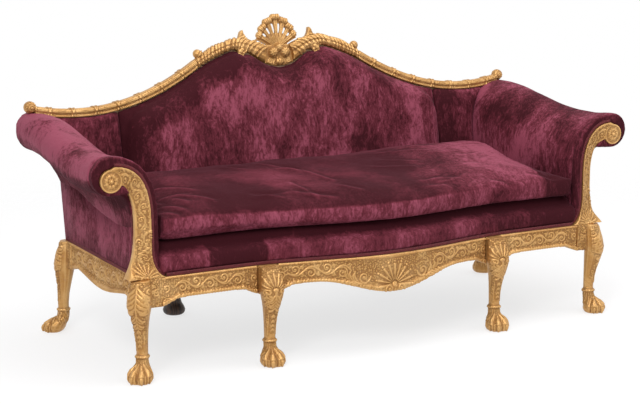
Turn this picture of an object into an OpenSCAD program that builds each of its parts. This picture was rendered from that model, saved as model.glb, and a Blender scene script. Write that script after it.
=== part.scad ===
// Cabriole sofa: carved giltwood show frame, velvet upholstery and one loose seat cushion.
// Millimetres. +Z is up, the front faces -Y, +X points to the right seen from the front,
// and the origin lies on the floor under the middle of the sofa.

/* [Seat frame] */
// Width of the seat frame, outside to outside
frame_w = 1800; // [1600:10:2100]
// Depth of the seat frame at the corner posts
frame_d = 695; // [620:5:780]
// Height of the top of the seat rails
rail_top = 337; // [320:1:360]
// Depth of the carved rails between the legs
rail_h = 72; // [60:1:90]
// Thickness of the carved rails
rail_t = 38; // [32:1:46]
// How far the front rail bows out at its middle
front_bow = 72; // [40:1:95]
// Drop of the shaped apron at the middle of the front rail
apron_drop = 58; // [30:1:70]
// Drop of the side rails at their middle
side_drop = 34; // [15:1:45]
// Distance from the middle of the sofa to each inner leg
inner_leg_x = 455; // [400:5:500]

/* [Legs] */
// Side of the square posts at the tops of the legs
post_w = 64; // [56:1:72]
// Width of a paw foot
paw_w = 84; // [70:1:92]
// Length of a paw foot
paw_l = 80; // [70:1:90]
// Height of a paw foot
paw_h = 62; // [50:1:70]
// Thickness of the ankle, front to back and side to side
ankle_d = 37; // [32:1:42]
// Swell of the knee in front of the ankle
knee_reach = 31; // [20:1:42]
// Width of the knee
knee_w = 75; // [66:1:84]
// Diameter of the round pads under the plain back legs
pad_foot_d = 84; // [70:1:100]

/* [Arms] */
// How far each arm's inner side stands in from the side of the frame
arm_inset = 64; // [50:2:80]
// How far the middle of each front arm scroll hangs out beyond the side of the frame
roll_out = 97; // [70:1:120]
// How much nearer the middle each roll lies at the back
roll_toe_in = 18; // [0:1:40]
// Radius of the upholstered arm roll
roll_r = 63; // [54:1:68]
// Height of the middle of the roll where it is lowest
roll_low_z = 665; // [640:1:700]
// Rise of the roll towards the back
roll_rise = 55; // [20:1:80]
// Thickness of the arm upholstery
arm_pad_t = 22; // [16:1:26]
// Width of the carved facing at its waist
facing_w = 48; // [40:1:52]
// Thickness of the carved facing at its inner edge
facing_t = 39; // [32:1:46]
// How far the outer edge of the facing turns back
facing_cant = 23; // [0:1:26]
// Radius of the scroll at the top of the facing
scroll_r = 37; // [32:1:40]

/* [Back] */
// Lean of the back from upright, in degrees
back_lean = 10.8; // [8:0.2:14]
// Thickness of the back frame with its outside cover
back_t = 42; // [38:1:52]
// How far the low points of the crest clear the tops of the arm rolls
crest_clear = 4; // [2:1:10]
// Rise of the crest from there to the knobs
crest_rise = 148.6; // [120:1:165]
// Rise of the leaf scrolls above the knobs
leaf_rise = 63; // [45:1:75]
// Height of the bound reeded rail with the fillet under it
reed_h = 33; // [28:1:38]
// Radius of the balls at the ends of the crest
ball_r = 22; // [16:1:26]
// Reach of the crest shell from its rosette to its top lobe
shell_reach = 127; // [100:1:135]
// Full thickness of the middle back pad
back_pad_t = 84; // [60:1:90]
// Half of the width of the middle back pad
back_pad_half_w = 672; // [580:2:720]

/* [Seat] */
// Height of the fixed stuffed seat above the rails
deck_h = 107; // [90:1:120]
// Height of the cushion's sides
cushion_h = 74; // [60:1:100]
// Crown of the cushion above its sides
cushion_crown = 40; // [15:1:50]

/* [Hidden] */

// Clearances: one gap between glued or tacked pieces, and one overrun for every cut
gap = 0.3;
overrun = 5;
frame_ahead = 32.5;

// Places that follow from the driving sizes
half_w = frame_w / 2;
face_y = -frame_d / 2 - frame_ahead;
rear_y = frame_d / 2 - frame_ahead;
arm_in = half_w - arm_inset;
bow_half_w = 560 / 900 * half_w;
rail_z = rail_top - rail_h;
post_z = rail_z - 24 / 72 * rail_h;
slab_y = rear_y - back_t;
back_rail_t = 50;

// Small sizes of the wood
tenon_t = 11;
tenon_l = 24;
tenon_shoulder = 12;
rail_bead = 6;
ear_w = 62;
ear_drop = 24;

// Small sizes of the cloth and webbing
strap_w = 50;
strap_t = 2;
hessian_t = 1.2;
cover_t = 2.5;
gimp_h = 12;
gimp_t = 4;

deck_z = rail_top + 2 * (strap_t + gap) + hessian_t + 2 * gap;
deck_top = rail_top + deck_h;
cushion_z = deck_top + gap;

gilt = "goldenrod";
velvet = "#6d2238";
raw_wood = "burlywood";

function lerp(a, b, t) = a + (b - a) * t;
function smooth(t) = t <= 0 ? 0 : t >= 1 ? 1 : t * t * (3 - 2 * t);
function swell(t) = t <= 0 ? 0 : t >= 1 ? 1 : sqrt(1 - (1 - t) * (1 - t));
function bezier(p, n) = [for (i = [0:n]) let (t = i / n, u = 1 - t)
    u * u * u * p[0] + 3 * u * u * t * p[1] + 3 * u * t * t * p[2] + t * t * t * p[3]];
function arc(c, r, a0, a1, n) = [for (i = [0:n]) let (a = lerp(a0, a1, i / n))
    c + r * [cos(a), sin(a)]];
function mirrored(shares) = concat([for (s = shares) -s],
    [for (i = [len(shares) - 2:-1:0]) shares[i]]);

// A path moved sideways by d, to the left of its direction
function unit(v) = v / norm(v);
function beside(path, d) = [for (i = [0:len(path) - 1])
    let (a = path[max(i - 1, 0)], b = path[min(i + 1, len(path) - 1)], u = unit(b - a))
    path[i] + d * [-u[1], u[0]]];

// A closed skin over rings of points, which run counter-clockwise about the way they follow
module skin(rings, two_sided = false) {
    n = len(rings[0]);
    m = len(rings);
    points = [for (ring = rings) each ring];
    sides = [for (i = [0:m - 2], j = [0:n - 1]) let (k = (j + 1) % n)
        each [[i * n + j, (i + 1) * n + j, (i + 1) * n + k],
              [i * n + j, (i + 1) * n + k, i * n + k]]];
    half = n / 2;
    last = (m - 1) * n;
    fan = [for (j = [1:n - 2]) each [[0, j, j + 1], [last, last + j + 1, last + j]]];
    strip = [for (j = [0:half - 2]) let (a = j, b = j + 1, c = n - 2 - j, d = n - 1 - j)
        each [[a, b, c], [a, c, d], [last + a, last + c, last + b], [last + a, last + d, last + c]]];
    polyhedron(points, concat(sides, two_sided ? strip : fan));
}

module mirror_x(on) {
    if (on) mirror([1, 0, 0]) children();
    else children();
}

// Seat rails

// Front face of the front rail: straight at the ends, bowed out in the middle
function front_y(x) = face_y - (abs(x) >= bow_half_w ? 0
    : front_bow * (1 + cos(180 * x / bow_half_w)) / 2);

// Lower edge of the front rail: the shaped apron in the middle and an ear beside each leg
apron_half_w = 0.64 * inner_leg_x;
function ear_at(d) = ear_drop * (1 - smooth(d / ear_w));
function apron_z(x) = rail_z - (abs(x) >= apron_half_w ? 0
    : apron_drop * (1 + cos(180 * x / apron_half_w)) / 2)
    - ear_at(abs(abs(x) - inner_leg_x) - post_w / 2) - ear_at(half_w - post_w - abs(x));
function side_z(t) = rail_z - side_drop * sin(180 * smooth(t)) - ear_at(t * side_l)
    - ear_at((1 - t) * side_l);

// Moulded section of a rail: depth behind the face, and height share from edge to top
rail_section_shares = [[1, 0], [1, 1], [0.10, 1], [0, 0.96], [0.07, 0.86], [0.05, 0.5], [0.09, 0.2],
    [-0.12, 0.12], [-0.12, 0.03], [0, 0]];
side_l = frame_d - 2 * post_w;

// Middle of a front tenon: in line with the mortise of the leg that it enters
function tenon_y(x) = rail_t / 2
    + front_y(abs(abs(x) - inner_leg_x) < post_w ? inner_leg_x : x);
module front_rail(x0, x1, n) {
    xs = [for (i = [0:n]) lerp(x0, x1, i / n)];
    difference() {
        union() {
            skin([for (x = xs) [for (s = rail_section_shares)
                [x, front_y(x) + s[0] * rail_t, lerp(apron_z(x), rail_top, s[1])]]]);
            for (end = [x0, x1]) {
                tenon(end, tenon_y(end), end == x0 ? -1 : 1);
            }
        }
        for (side = [-1, 1])
            translate([side * inner_leg_x - knee_w / 2 - gap, face_y - 2 * front_bow, post_z])
                cube([knee_w + 2 * gap, inner_foot_y + ankle_back + gap - face_y + 2 * front_bow,
                    rail_h + post_w]);
    }
}

module tenon(x, y, way) {
    translate([x + (way > 0 ? -overrun : -tenon_l + gap), y - tenon_t / 2,
            post_z + tenon_shoulder])
        cube([tenon_l + overrun - gap, tenon_t, rail_top - post_z - 2 * tenon_shoulder]);
}

module mortise(y) {
    translate([0, y - tenon_t / 2 - gap, post_z + tenon_shoulder - gap])
        cube([tenon_l + gap, tenon_t + 2 * gap, rail_top - post_z - 2 * tenon_shoulder + 2 * gap]);
}

inner_gap_x = post_w / 2 + gap;
module front_left_seat_rail() {
    color(gilt) front_rail(-half_w + post_w + gap, -inner_leg_x - inner_gap_x, 14);
}
module front_right_seat_rail() {
    color(gilt) front_rail(inner_leg_x + inner_gap_x, half_w - post_w - gap, 14);
}
module front_centre_seat_rail() {
    color(gilt) front_rail(-inner_leg_x + inner_gap_x, inner_leg_x - inner_gap_x, 34);
}

module side_rail() {
    n = 16;
    y0 = face_y + post_w + gap;
    y1 = rear_y - post_w - gap;
    skin([for (i = [0:n]) let (t = i / n) [for (s = rail_section_shares)
        [half_w - s[0] * rail_t, lerp(y0, y1, t), lerp(side_z(t), rail_top, s[1])]]]);
    for (end = [[y0, -1], [y1, 1]]) {
        translate([half_w - rail_t / 2, end[0], 0]) rotate([0, 0, 90])
            tenon(0, 0, end[1]);
    }
}
module right_seat_rail() { color(gilt) side_rail(); }
module left_seat_rail() { color(gilt) mirror([1, 0, 0]) side_rail(); }

module back_seat_rail() {
    w = 2 * (half_w - post_w - gap);
    z0 = rail_z + 8 / 72 * rail_h;
    color("saddlebrown") difference() {
        union() {
            translate([-w / 2, rear_y - back_rail_t, z0])
                cube([w, back_rail_t, rail_top - z0]);
            for (way = [-1, 1]) {
                tenon(way * w / 2, rear_y - back_rail_t / 2, way);
            }
        }
        for (way = [-1, 1]) {
            translate([way * inner_leg_x - plain_leg_w / 2 - gap, rear_y - plain_leg_w - gap,
                    z0 - overrun])
                cube([plain_leg_w + 2 * gap, plain_leg_w + overrun, rail_top - z0 - tenon_shoulder
                    + overrun]);
        }
    }
}

cross_w = 45;
cross_z = rail_z + 22 / 72 * rail_h;
module cross_rail(side) {
    y0 = front_y(inner_leg_x) + rail_t + gap;
    color(raw_wood)
        translate([side * inner_leg_x - cross_w / 2, y0, cross_z])
        cube([cross_w, rear_y - back_rail_t - gap - y0, rail_top - cross_z]);
}
module left_cross_rail() { cross_rail(-1); }
module right_cross_rail() { cross_rail(1); }

// Glued three-cornered blocks in the corners of the seat frame
block_l = 70;
module corner_blocks() {
    block_z = rail_z + 20 / 72 * rail_h;
    x = half_w - max(post_w, rail_t) - gap;
    color(raw_wood)
        for (side = [-1, 1], end = [[face_y + max(post_w, rail_t) + gap, 1],
                [rear_y - max(post_w, back_rail_t) - gap, -1]])
            translate([side * x, end[0], block_z])
            linear_extrude(rail_top - block_z)
            polygon([[0, 0], [-side * block_l, 0], [0, end[1] * block_l]]);
}

// Legs

// Stations up a leg: height share of the leg above the paw, swell of the front, swell of the width
leg_shares = [[0.07, 0, 0], [0.2, 0.07, 0.06], [0.33, 0.3, 0.2], [0.43, 0.55, 0.38], [0.52, 0.78, 0.6],
    [0.59, 0.93, 0.83], [0.66, 1, 1], [0.78, 0.82, 1], [0.9, 0.52, 0.86], [1, 0.34, 0.68]];
// Stations down a paw: height share, heel share, toe share, width share, depth of the toe grooves
paw_shares = [[0, 0.28, 0.78, 0.72, 0.16], [0.07, 0.12, 0.92, 0.88, 0.2], [0.24, 0, 1, 1, 0.18],
    [0.46, 0.02, 0.93, 0.98, 0.14], [0.68, 0.03, 0.62, 0.8, 0.12], [0.86, 0.02, 0.26, 0.56, 0.06],
    [0.97, 0, 0.06, 0.46, 0]];
// Angles round a ring, from the middle groove of the toes to the heel
ring_angles = [0, 10, 20, 30, 40, 50, 60, 74, 92, 116, 142, 164];
toe_pitch = 40;
collar_z = 84 / 337 * rail_top;
collar_h = 10;
collar_proud = 4;
ankle_back = paw_l / 2 + 1 / 80 * paw_l;
ring_all = concat([180], [for (i = [len(ring_angles) - 1:-1:1]) -ring_angles[i]], ring_angles);

function groove(a) = abs(a) > 2 * toe_pitch ? 0 : pow(abs(cos(180 * a / toe_pitch)), 3);
// One ring of a leg: from back to front along X, with a rounded-square section
function leg_ring(z, back, front, w, cut) = [for (a = ring_all) let (
    n = 2.5,
    r = pow(pow(abs(cos(a)), n) + pow(abs(sin(a)), n), -1 / n) * (1 - cut * groove(a)))
    [lerp(back, front, 0.5) + r * cos(a) * (front - back) / 2, r * sin(a) * w / 2, z]];

// Cabriole leg with a hairy paw, its foot centred on the floor at the origin, facing +X.
// rake moves everything above the paw back, so that the foot kicks out.
function raked(z, top, rake) = rake
    * (0.42 * smooth(z / paw_h) + 0.58 * smooth((z - 0.3 * top) / top / 0.5));
module cabriole(rake, top) {
    heel = -paw_l / 2;
    ankle_front = -ankle_back + ankle_d;
    paw = [for (s = paw_shares) let (z = s[0] * paw_h, back = -raked(z, top, rake))
        leg_ring(z, back + lerp(heel, 0, s[1]), back + lerp(ankle_front, paw_l / 2, s[2]),
            lerp(0, paw_w, s[3]), s[4])];
    collar = [for (c = [[-1, 0], [-0.6, 1], [0.6, 1], [1, 0]])
        let (z = collar_z + c[0] * collar_h / 2, back = -raked(z, top, rake))
        leg_ring(z, back - ankle_back - c[1] * collar_proud,
            back + ankle_front + c[1] * collar_proud, ankle_d + 2 * c[1] * collar_proud, 0)];
    shin_z = collar_z + collar_h / 2;
    shin = [for (s = leg_shares) let (z = lerp(shin_z, top, s[0]), back = -raked(z, top, rake))
        leg_ring(z, back - ankle_back, back + ankle_front + knee_reach * s[1],
            lerp(ankle_d, knee_w, s[2]), 0)];
    skin(concat(paw, collar, shin));
}

corner_foot = [half_w + 19 / 900 * half_w, face_y - 2 / 64 * post_w];
back_foot = [half_w + 33 / 900 * half_w, rear_y + 42 / 64 * post_w];
back_leg_rake = 46;

module post_block(d) {
    translate([-post_w, 0, post_z]) cube([post_w, d, rail_top - post_z]);
}

module front_corner_leg() {
    difference() {
        union() {
            translate(corner_foot) rotate([0, 0, -45]) cabriole(0, rail_top);
            translate([half_w, face_y, 0]) post_block(post_w);
        }
        translate([half_w - post_w - gap, 0, 0]) mortise(face_y + rail_t / 2);
        translate([half_w - rail_t / 2, face_y + post_w + gap, 0]) rotate([0, 0, -90]) mortise(0);
    }
}
module front_right_leg() { color(gilt) front_corner_leg(); }
module front_left_leg() { color(gilt) mirror([1, 0, 0]) front_corner_leg(); }

module back_corner_leg() {
    difference() {
        union() {
            translate(back_foot) rotate([0, 0, 45]) cabriole(back_leg_rake, rail_top);
            translate([half_w, rear_y - post_w, 0]) post_block(post_w);
        }
        translate([half_w - post_w - gap, 0, 0]) mortise(rear_y - back_rail_t / 2);
        translate([half_w - rail_t / 2, rear_y - post_w - gap, 0]) rotate([0, 0, 90]) mortise(0);
    }
}
module back_right_leg() { color(gilt) back_corner_leg(); }
module back_left_leg() { color(gilt) mirror([1, 0, 0]) back_corner_leg(); }

inner_foot_y = front_y(inner_leg_x) - 31 / 64 * post_w;
module inner_leg() {
    y = front_y(inner_leg_x);
    difference() {
        union() {
            translate([inner_leg_x, inner_foot_y, 0]) rotate([0, 0, -90]) cabriole(0, rail_top);
            translate([inner_leg_x + post_w / 2, y, 0]) post_block(rail_t);
        }
        for (way = [-1, 1])
            translate([inner_leg_x + way * (post_w / 2 + gap), y + rail_t / 2, 0])
                rotate([0, 0, way > 0 ? 180 : 0]) mortise(0);
    }
}
module inner_right_leg() { color(gilt) inner_leg(); }
module inner_left_leg() { color(gilt) mirror([1, 0, 0]) inner_leg(); }

// Plain leg of the back: a square top let into the back rail, sweeping back to a round pad foot
plain_leg_w = 46;
plain_leg_sweep = 51;
plain_foot_y = rear_y + plain_leg_sweep;
// Stations up the leg: height share, sweep share and radius share
plain_shares = [[0, 1, 0.78], [0.03, 1, 0.96], [0.07, 1, 1], [0.12, 1, 0.9], [0.18, 0.99, 0.68],
    [0.26, 0.95, 0.54], [0.4, 0.78, 0.5], [0.6, 0.42, 0.5], [0.8, 0.12, 0.52], [1, 0, 0.53]];
module plain_leg() {
    block_z = rail_z - 20 / 72 * rail_h;
    top = rail_top - tenon_shoulder - gap;
    r = plain_leg_w / 2;
    y = rear_y - r;
    skin([for (s = plain_shares) [for (j = [0:15])
        let (a = 22.5 * j, d = s[2] * pad_foot_d / 2)
        [inner_leg_x + d * cos(a), lerp(y, plain_foot_y, s[1]) + d * sin(a), s[0] * block_z]]]);
    translate([inner_leg_x - r, y - r, block_z - gap])
        cube([plain_leg_w, plain_leg_w, top - block_z + gap]);
}
module plain_right_leg() { color("saddlebrown") plain_leg(); }
module plain_left_leg() { color("saddlebrown") mirror([1, 0, 0]) plain_leg(); }

// Arms

// Places along an arm run from 0 behind the facing to 1 at the rear of the back
facing_y = face_y + 10 / 39 * facing_t;
arm_y0 = facing_y + facing_t;
function back_plane_y(z) = rear_y + (z - rail_top) * tan(back_lean);
function slab_plane_y(z) = back_plane_y(z) - back_t / cos(back_lean);
// First and last angle of the round part of the roll
roll_arc = [75, -95];
function roll_x(t) = half_w + roll_out - roll_toe_in * t;
function roll_z(t) = roll_low_z + roll_rise * (t < 0.22 ? 0.2 * pow(1 - t / 0.22, 2)
    : smooth((t - 0.22) / 0.62));
function outside_x(t) = lerp(half_w + 12 / 900 * half_w, half_w - 7 / 900 * half_w, t);

pad_foot_z = deck_z + gap;
arch_h = 150 / 63 * roll_r;
under_h = 185 / 63 * roll_r;

// Outline of the arm upholstery at t: up the inside, over the roll and under it to the outside.
// The hollow under the roll is deep at the front and fills out towards the back.
function arm_outline(t) = let (c = [roll_x(t), roll_z(t)], w = c[0] - arm_in, out = outside_x(t),
    fill = smooth(t / 0.6))
    concat([[arm_in, pad_foot_z], [arm_in, lerp(pad_foot_z, c[1] - arch_h, 0.6)]],
        bezier([[arm_in, c[1] - arch_h], [arm_in, c[1] - 0.13 * arch_h],
            [arm_in + 0.34 * w, c[1] + 0.93 * roll_r], c + [-0.12 * roll_r, roll_r]], 8),
        arc(c, roll_r, roll_arc[0], roll_arc[1], 11),
        bezier([c + [-0.2 * roll_r, -roll_r], c + roll_r * lerp([-1.1, -0.88], [-0.45, -1.25], fill),
            [out + 0.15 * fill * roll_r, c[1] - lerp(0.5, 0.8, fill) * under_h],
            [out, c[1] - under_h]], 5));

arm_shares = [0, 0.05, 0.11, 0.18, 0.25, 0.34, 0.43, 0.5, 0.57, 0.65, 0.74, 0.84, 1];
function arm_point(p, t) = [p[0], lerp(arm_y0 + gap, back_plane_y(p[1]), t), p[1]];
function arm_ring(t) = let (path = arm_outline(t), inner = beside(path, -arm_pad_t))
    [for (p = concat(path, [for (i = [len(path) - 1:-1:0]) inner[i]])) arm_point(p, t)];

// Everything that the back frame fills, behind its front plane
module on_back() {
    translate([0, slab_y, rail_top]) rotate([-back_lean, 0, 0]) children();
}
back_frame_half_w = half_w - 11 / 900 * half_w;
module back_room() {
    on_back() translate([0, -gap, -back_t])
        cube([back_frame_half_w + gap, 3 * back_t, 2 * crest_low_h]);
}

// Room for the end of the crest, which beds into the back of the arm pad
module crest_room() {
    reach = band_proud + gap;
    xs = [for (i = [0:8]) lerp(back_frame_half_w - 2 * overrun, crest_end_x, i / 8)];
    back_plate(-crest_proud - reach, crest_depth + 2 * reach) polygon(concat(
        [for (x = xs) [x, crest_under(x)]],
        [[crest_end_x, 2 * crest_low_h], [xs[0], 2 * crest_low_h]]));
}
module arm_pad() {
    difference() {
        skin([for (t = arm_shares) arm_ring(t)], two_sided = true);
        back_room();
        crest_room();
    }
}
module right_arm_pad() { color(velvet) arm_pad(); }
module left_arm_pad() { color(velvet) mirror([1, 0, 0]) arm_pad(); }

// Shaped rail inside the roll, from the facing to the back frame
core_r = roll_r - arm_pad_t - 2 * gap;
module arm_top_rail() {
    difference() {
        skin([for (t = arm_shares) [for (j = [0:11])
            let (a = -30 * j, z = roll_z(t) + core_r * sin(a))
            [roll_x(t) + core_r * cos(a), lerp(arm_y0 + gap, back_plane_y(z), t), z]]]);
        back_room();
    }
}
module right_arm_top_rail() { color(raw_wood) arm_top_rail(); }
module left_arm_top_rail() { color(raw_wood) mirror([1, 0, 0]) arm_top_rail(); }

low_rail_h = 46;
module arm_low_rail() {
    x0 = arm_in + arm_pad_t + gap;
    z0 = rail_top + gap;
    translate([x0, arm_y0 + gap, z0])
        cube([outside_x(1) - cover_t - gap - x0, slab_y - 2 * gap - arm_y0, low_rail_h]);
}
module right_arm_low_rail() { color(raw_wood) arm_low_rail(); }
module left_arm_low_rail() { color(raw_wood) mirror([1, 0, 0]) arm_low_rail(); }

// Velvet panel outside the arm, from the side rail up to the underside of the roll
module outside_arm() {
    skin([for (t = arm_shares) let (x = outside_x(t), top = roll_z(t) - under_h - gap)
        [for (p = [[x - cover_t, rail_top + gap], [x - cover_t, top], [x, top],
            [x, rail_top + gap]]) arm_point(p, t)]]);
}
module right_outside_arm() { color(velvet) outside_arm(); }
module left_outside_arm() { color(velvet) mirror([1, 0, 0]) outside_arm(); }

// Carved facing: an S-shaped band, turned back at its outer edge, that ends in a scroll
eye = [half_w + roll_out, roll_z(0) - 14 / 63 * roll_r];
waist_x = arm_in + 28 / 48 * facing_w;
facing_z = rail_top + gap;
// Inner and outer edges of the band, both from the seat rail up to the scroll
function facing_inner() = let (w = facing_w, r = scroll_r) concat(
    bezier([[waist_x - 0.93 * w, facing_z], [waist_x - 0.35 * w, facing_z + 0.2 * w],
        [waist_x, facing_z + 0.9 * w], [waist_x, facing_z + 2.1 * w]], 6),
    bezier([[waist_x, eye[1] - 3.57 * r], [waist_x, eye[1] - 0.6 * r],
        [waist_x + 0.85 * w, eye[1] + 1.2 * r], eye + [-0.33 * r, 1.2 * r]], 9),
    [eye + [0.3 * r, 0.88 * r]]);
function facing_outer() = let (w = facing_w, r = scroll_r) concat(
    bezier([[waist_x + 1.75 * w, facing_z], [waist_x + 1.33 * w, facing_z + 0.8 * w],
        [waist_x + 1.03 * w, facing_z + 1.5 * w], [waist_x + w, facing_z + 3 * w]], 6),
    bezier([[waist_x + w, eye[1] - 3.6 * r], [waist_x + w, eye[1] - 1.95 * r],
        [waist_x + 1.48 * w, eye[1] - 0.6 * r], eye + [-0.92 * r, -0.38 * r]], 9),
    [eye + [-0.5 * r, -0.1 * r]]);
function reversed(p) = [for (i = [len(p) - 1:-1:0]) p[i]];
rim_share = 0.13;
rim_slope_share = 0.06;
sunk = 3;
// Stations across the band: share of its width, and how far the face is sunk there
facing_section = [[0, 0], [rim_share, 0], [rim_share + rim_slope_share, sunk],
    [1 - rim_share - rim_slope_share, sunk], [1 - rim_share, 0], [1, 0]];
module facing_band() {
    inner = facing_inner();
    outer = facing_outer();
    n = len(inner) - 1;
    skin([for (i = [0:n])
        let (a = inner[i], b = outer[i], cant = facing_cant * (1 - smooth((i / n - 0.68) / 0.27)))
        concat([[a[0], arm_y0, a[1]]],
            [for (s = facing_section) let (q = lerp(a, b, s[0]))
                [q[0], facing_y + s[1] + cant * s[0], q[1]]],
            [[b[0], arm_y0, b[1]]])]);
}
module front_plate(y, t) {
    translate([0, y + t, 0]) rotate([90, 0, 0]) linear_extrude(t) children();
}
module eye_plate(r, y, t) {
    translate([eye[0], y + t, eye[1]]) rotate([90, 0, 0]) cylinder(t, r, r, $fn = 64);
}
petals = 8;
module arm_facing() {
    difference() {
        union() {
            facing_band();
            eye_plate(scroll_r, facing_y, facing_t);
        }
        eye_plate(0.84 * scroll_r, facing_y - overrun, sunk + overrun);
    }
    // Rosette in the eye of the scroll
    translate([eye[0], facing_y + sunk, eye[1]]) rotate([90, 0, 0]) {
        for (i = [1:petals]) {
            rotate([0, 0, 360 * i / petals]) translate([0.48 * scroll_r, 0, -0.06 * scroll_r])
                sphere(0.2 * scroll_r, $fn = 24);
        }
        translate([0, 0, -0.06 * scroll_r]) sphere(0.26 * scroll_r, $fn = 32);
    }
}
module right_arm_facing() { color(gilt) arm_facing(); }
module left_arm_facing() { color(gilt) mirror([1, 0, 0]) arm_facing(); }

// Velvet border between the facing and the edge of the arm
border_set = 8;
module arm_border() {
    outline = arm_outline(0);
    y = facing_y + border_set;
    t = facing_t - border_set;
    difference() {
        front_plate(y, t)
            polygon(concat([for (i = [0:len(outline) - 7]) outline[i]],
                [[waist_x + 1.2 * facing_w, eye[1] - 1.2 * scroll_r],
                    [waist_x + facing_w / 2, eye[1] - 2 * scroll_r],
                    [waist_x + facing_w / 2, pad_foot_z]]));
        front_plate(y - overrun, t + 2 * overrun)
            polygon(concat(beside(facing_inner(), gap), reversed(beside(facing_outer(), -gap))));
        eye_plate(scroll_r + gap, y - overrun, t + 2 * overrun);
    }
}
module right_arm_border() { color(velvet) arm_border(); }
module left_arm_border() { color(velvet) mirror([1, 0, 0]) arm_border(); }

// Back. In on_back(), Y is the depth behind the frame's front plane and Z the height up it.

crest_low_x = 811 / 900 * half_w;
crest_end_x = 991 / 900 * half_w;
knob_x = 342 / 900 * half_w;
peak_x = 168 / 900 * half_w;
crest_low_h = roll_low_z + roll_rise + roll_r + crest_clear - rail_top;
knob_h = crest_low_h + crest_rise;
peak_h = knob_h + leaf_rise;
dip_h = peak_h - 58 / 63 * leaf_rise;

// Middle line of the crest
function crest_h(x) = let (d = abs(x)) d >= knob_x
    ? crest_low_h + crest_rise * pow((d - crest_low_x) / (crest_low_x - knob_x), 2)
    : d >= peak_x ? peak_h - leaf_rise * pow((d - peak_x) / (knob_x - peak_x), 1.6)
    : lerp(dip_h, peak_h, smooth(d / peak_x));
function crest_slope(x) = let (e = reed_h / 4) atan((crest_h(x + e) - crest_h(x - e)) / 2 / e);
leaf_h = 40 / 33 * reed_h;
hollow_h = 66 / 33 * reed_h;
shell_half_w = 60 / 900 * half_w;
// Half of the height of the crest: reeds outside, leaf scrolls inside, deeper under the shell
function crest_half(x) = let (d = abs(x)) 0.5 * (d > peak_x
    ? lerp(leaf_h, reed_h, smooth((d - knob_x + 2 * leaf_h) / leaf_h / 2))
    : lerp(hollow_h, leaf_h, smooth((d - shell_half_w) / (peak_x - shell_half_w))));
// The lower edge of each leaf scroll hangs down in a curl
curl_x = 155 / 900 * half_w;
curl_w = 34 / 900 * half_w;
curl_drop = 15 / 63 * leaf_rise;
function crest_curl(x) = curl_drop * (1 + cos(180 * min(1, abs(abs(x) - curl_x) / curl_w))) / 2;
function crest_under(x) = crest_h(x) - crest_half(x) / cos(crest_slope(x)) - crest_curl(x) - gap;
// Stations across the back, close together where the crest curves most
leaf_steps = 30;
function leaf_x(i) = lerp(shell_half_w, knob_x - gap, i / leaf_steps);
crest_stations = mirrored(concat([for (i = [16:-1:1]) lerp(knob_x, back_frame_half_w, i / 16)],
    [for (i = [leaf_steps:-1:0]) leaf_x(i)], [for (i = [5:-1:0]) i / 6 * shell_half_w]));
function pad_top(x) = crest_under(x) - 3 * gap;

frame_front = strap_t + 2 * gap;
frame_deep = back_t - cover_t - gap - frame_front;
post_thick = 46;
top_rail_h = 62;

module back_plate(y, t) {
    on_back() translate([0, y + t, 0]) rotate([90, 0, 0]) linear_extrude(t) children();
}

post_top = crest_under(back_frame_half_w - post_thick) - top_rail_h - 2 * gap;
module back_post() {
    on_back() translate([back_frame_half_w - post_thick, frame_front, 0])
        difference() {
            cube([post_thick, frame_deep, post_top]);
            rotate([back_lean, 0, 0])
                translate([-overrun, -overrun, frame_front * sin(back_lean) + gap - 2 * back_t])
                cube([post_thick + 2 * overrun, 3 * back_t, 2 * back_t]);
        }
}
module right_back_post() { color(raw_wood) back_post(); }
module left_back_post() { color(raw_wood) mirror([1, 0, 0]) back_post(); }

low_lap = 0.45;
back_low_z = 60 / 337 * rail_top;
back_low_h = 55;
module back_low_rail() {
    w = 2 * (back_frame_half_w - post_thick - gap);
    color(raw_wood) on_back() translate([-w / 2, frame_front, back_low_z])
        cube([w, low_lap * frame_deep - gap, back_low_h]);
}

upright_w = 48;
module back_uprights() {
    color(raw_wood) for (side = [-1, 1]) {
        x = side * inner_leg_x;
        top = crest_under(x) - top_rail_h - gap - upright_w * 0.5;
        difference() {
            on_back() translate([x - upright_w / 2, frame_front + low_lap * frame_deep, 0])
                cube([upright_w, (1 - low_lap) * frame_deep, top]);
            translate([x - upright_w, slab_y - back_t, rail_top - 2 * back_t + gap])
                cube([2 * upright_w, 3 * back_t, 2 * back_t]);
        }
    }
}

// Shaped top rail of the back frame, under the crest
module back_top_rail() {
    xs = crest_stations;
    n = len(xs) - 1;
    color(raw_wood) back_plate(frame_front, frame_deep)
        polygon(concat([for (x = xs) [x, crest_under(x)]],
            [for (i = [n:-1:0]) [xs[i], crest_under(xs[i]) - top_rail_h
                - 0.5 * upright_w * (1 - smooth((abs(xs[i]) - inner_leg_x) / upright_w))]]));
}

module back_webbing() {
    n = 13;
    half = back_frame_half_w - post_thick;
    pitch = 2 * half / n;
    color("peru") for (i = [0:n - 1]) {
        x = -half + (i + 0.5) * pitch;
        on_back() translate([x - strap_w / 2, gap, back_low_z + back_low_h / 4])
            cube([strap_w, strap_t, crest_under(x + strap_w / 2) - back_low_z - back_low_h / 4
                - top_rail_h / 2]);
    }
}

module outside_back() {
    w = back_frame_half_w;
    color(velvet) difference() {
        back_plate(back_t - cover_t, cover_t)
            polygon(concat([for (x = crest_stations) [x, crest_under(x)]], [[w, 0], [-w, 0]]));
        translate([-w - overrun, slab_y - back_t, rail_top - 2 * back_t + gap])
            cube([2 * (w + overrun), 4 * back_t, 2 * back_t]);
    }
}

// Middle back pad: full and rounded, with soft shoulders under the crest
pad_rim = 16;
pad_round = 75;
shoulder_w = 105;
shoulder_h = 140;
pad_foot_h = deck_h + 10 / 107 * deck_h;
back_pad_shares = mirrored([1, 0.985, 0.955, 0.91, 0.86, 0.78, 0.68, 0.58, 0.5, 0.43, 0.36, 0.3, 0.265,
    0.24, 0.22, 0.19, 0.16, 0.12, 0.08, 0.04, 0]);
pad_rows = 13;
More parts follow.
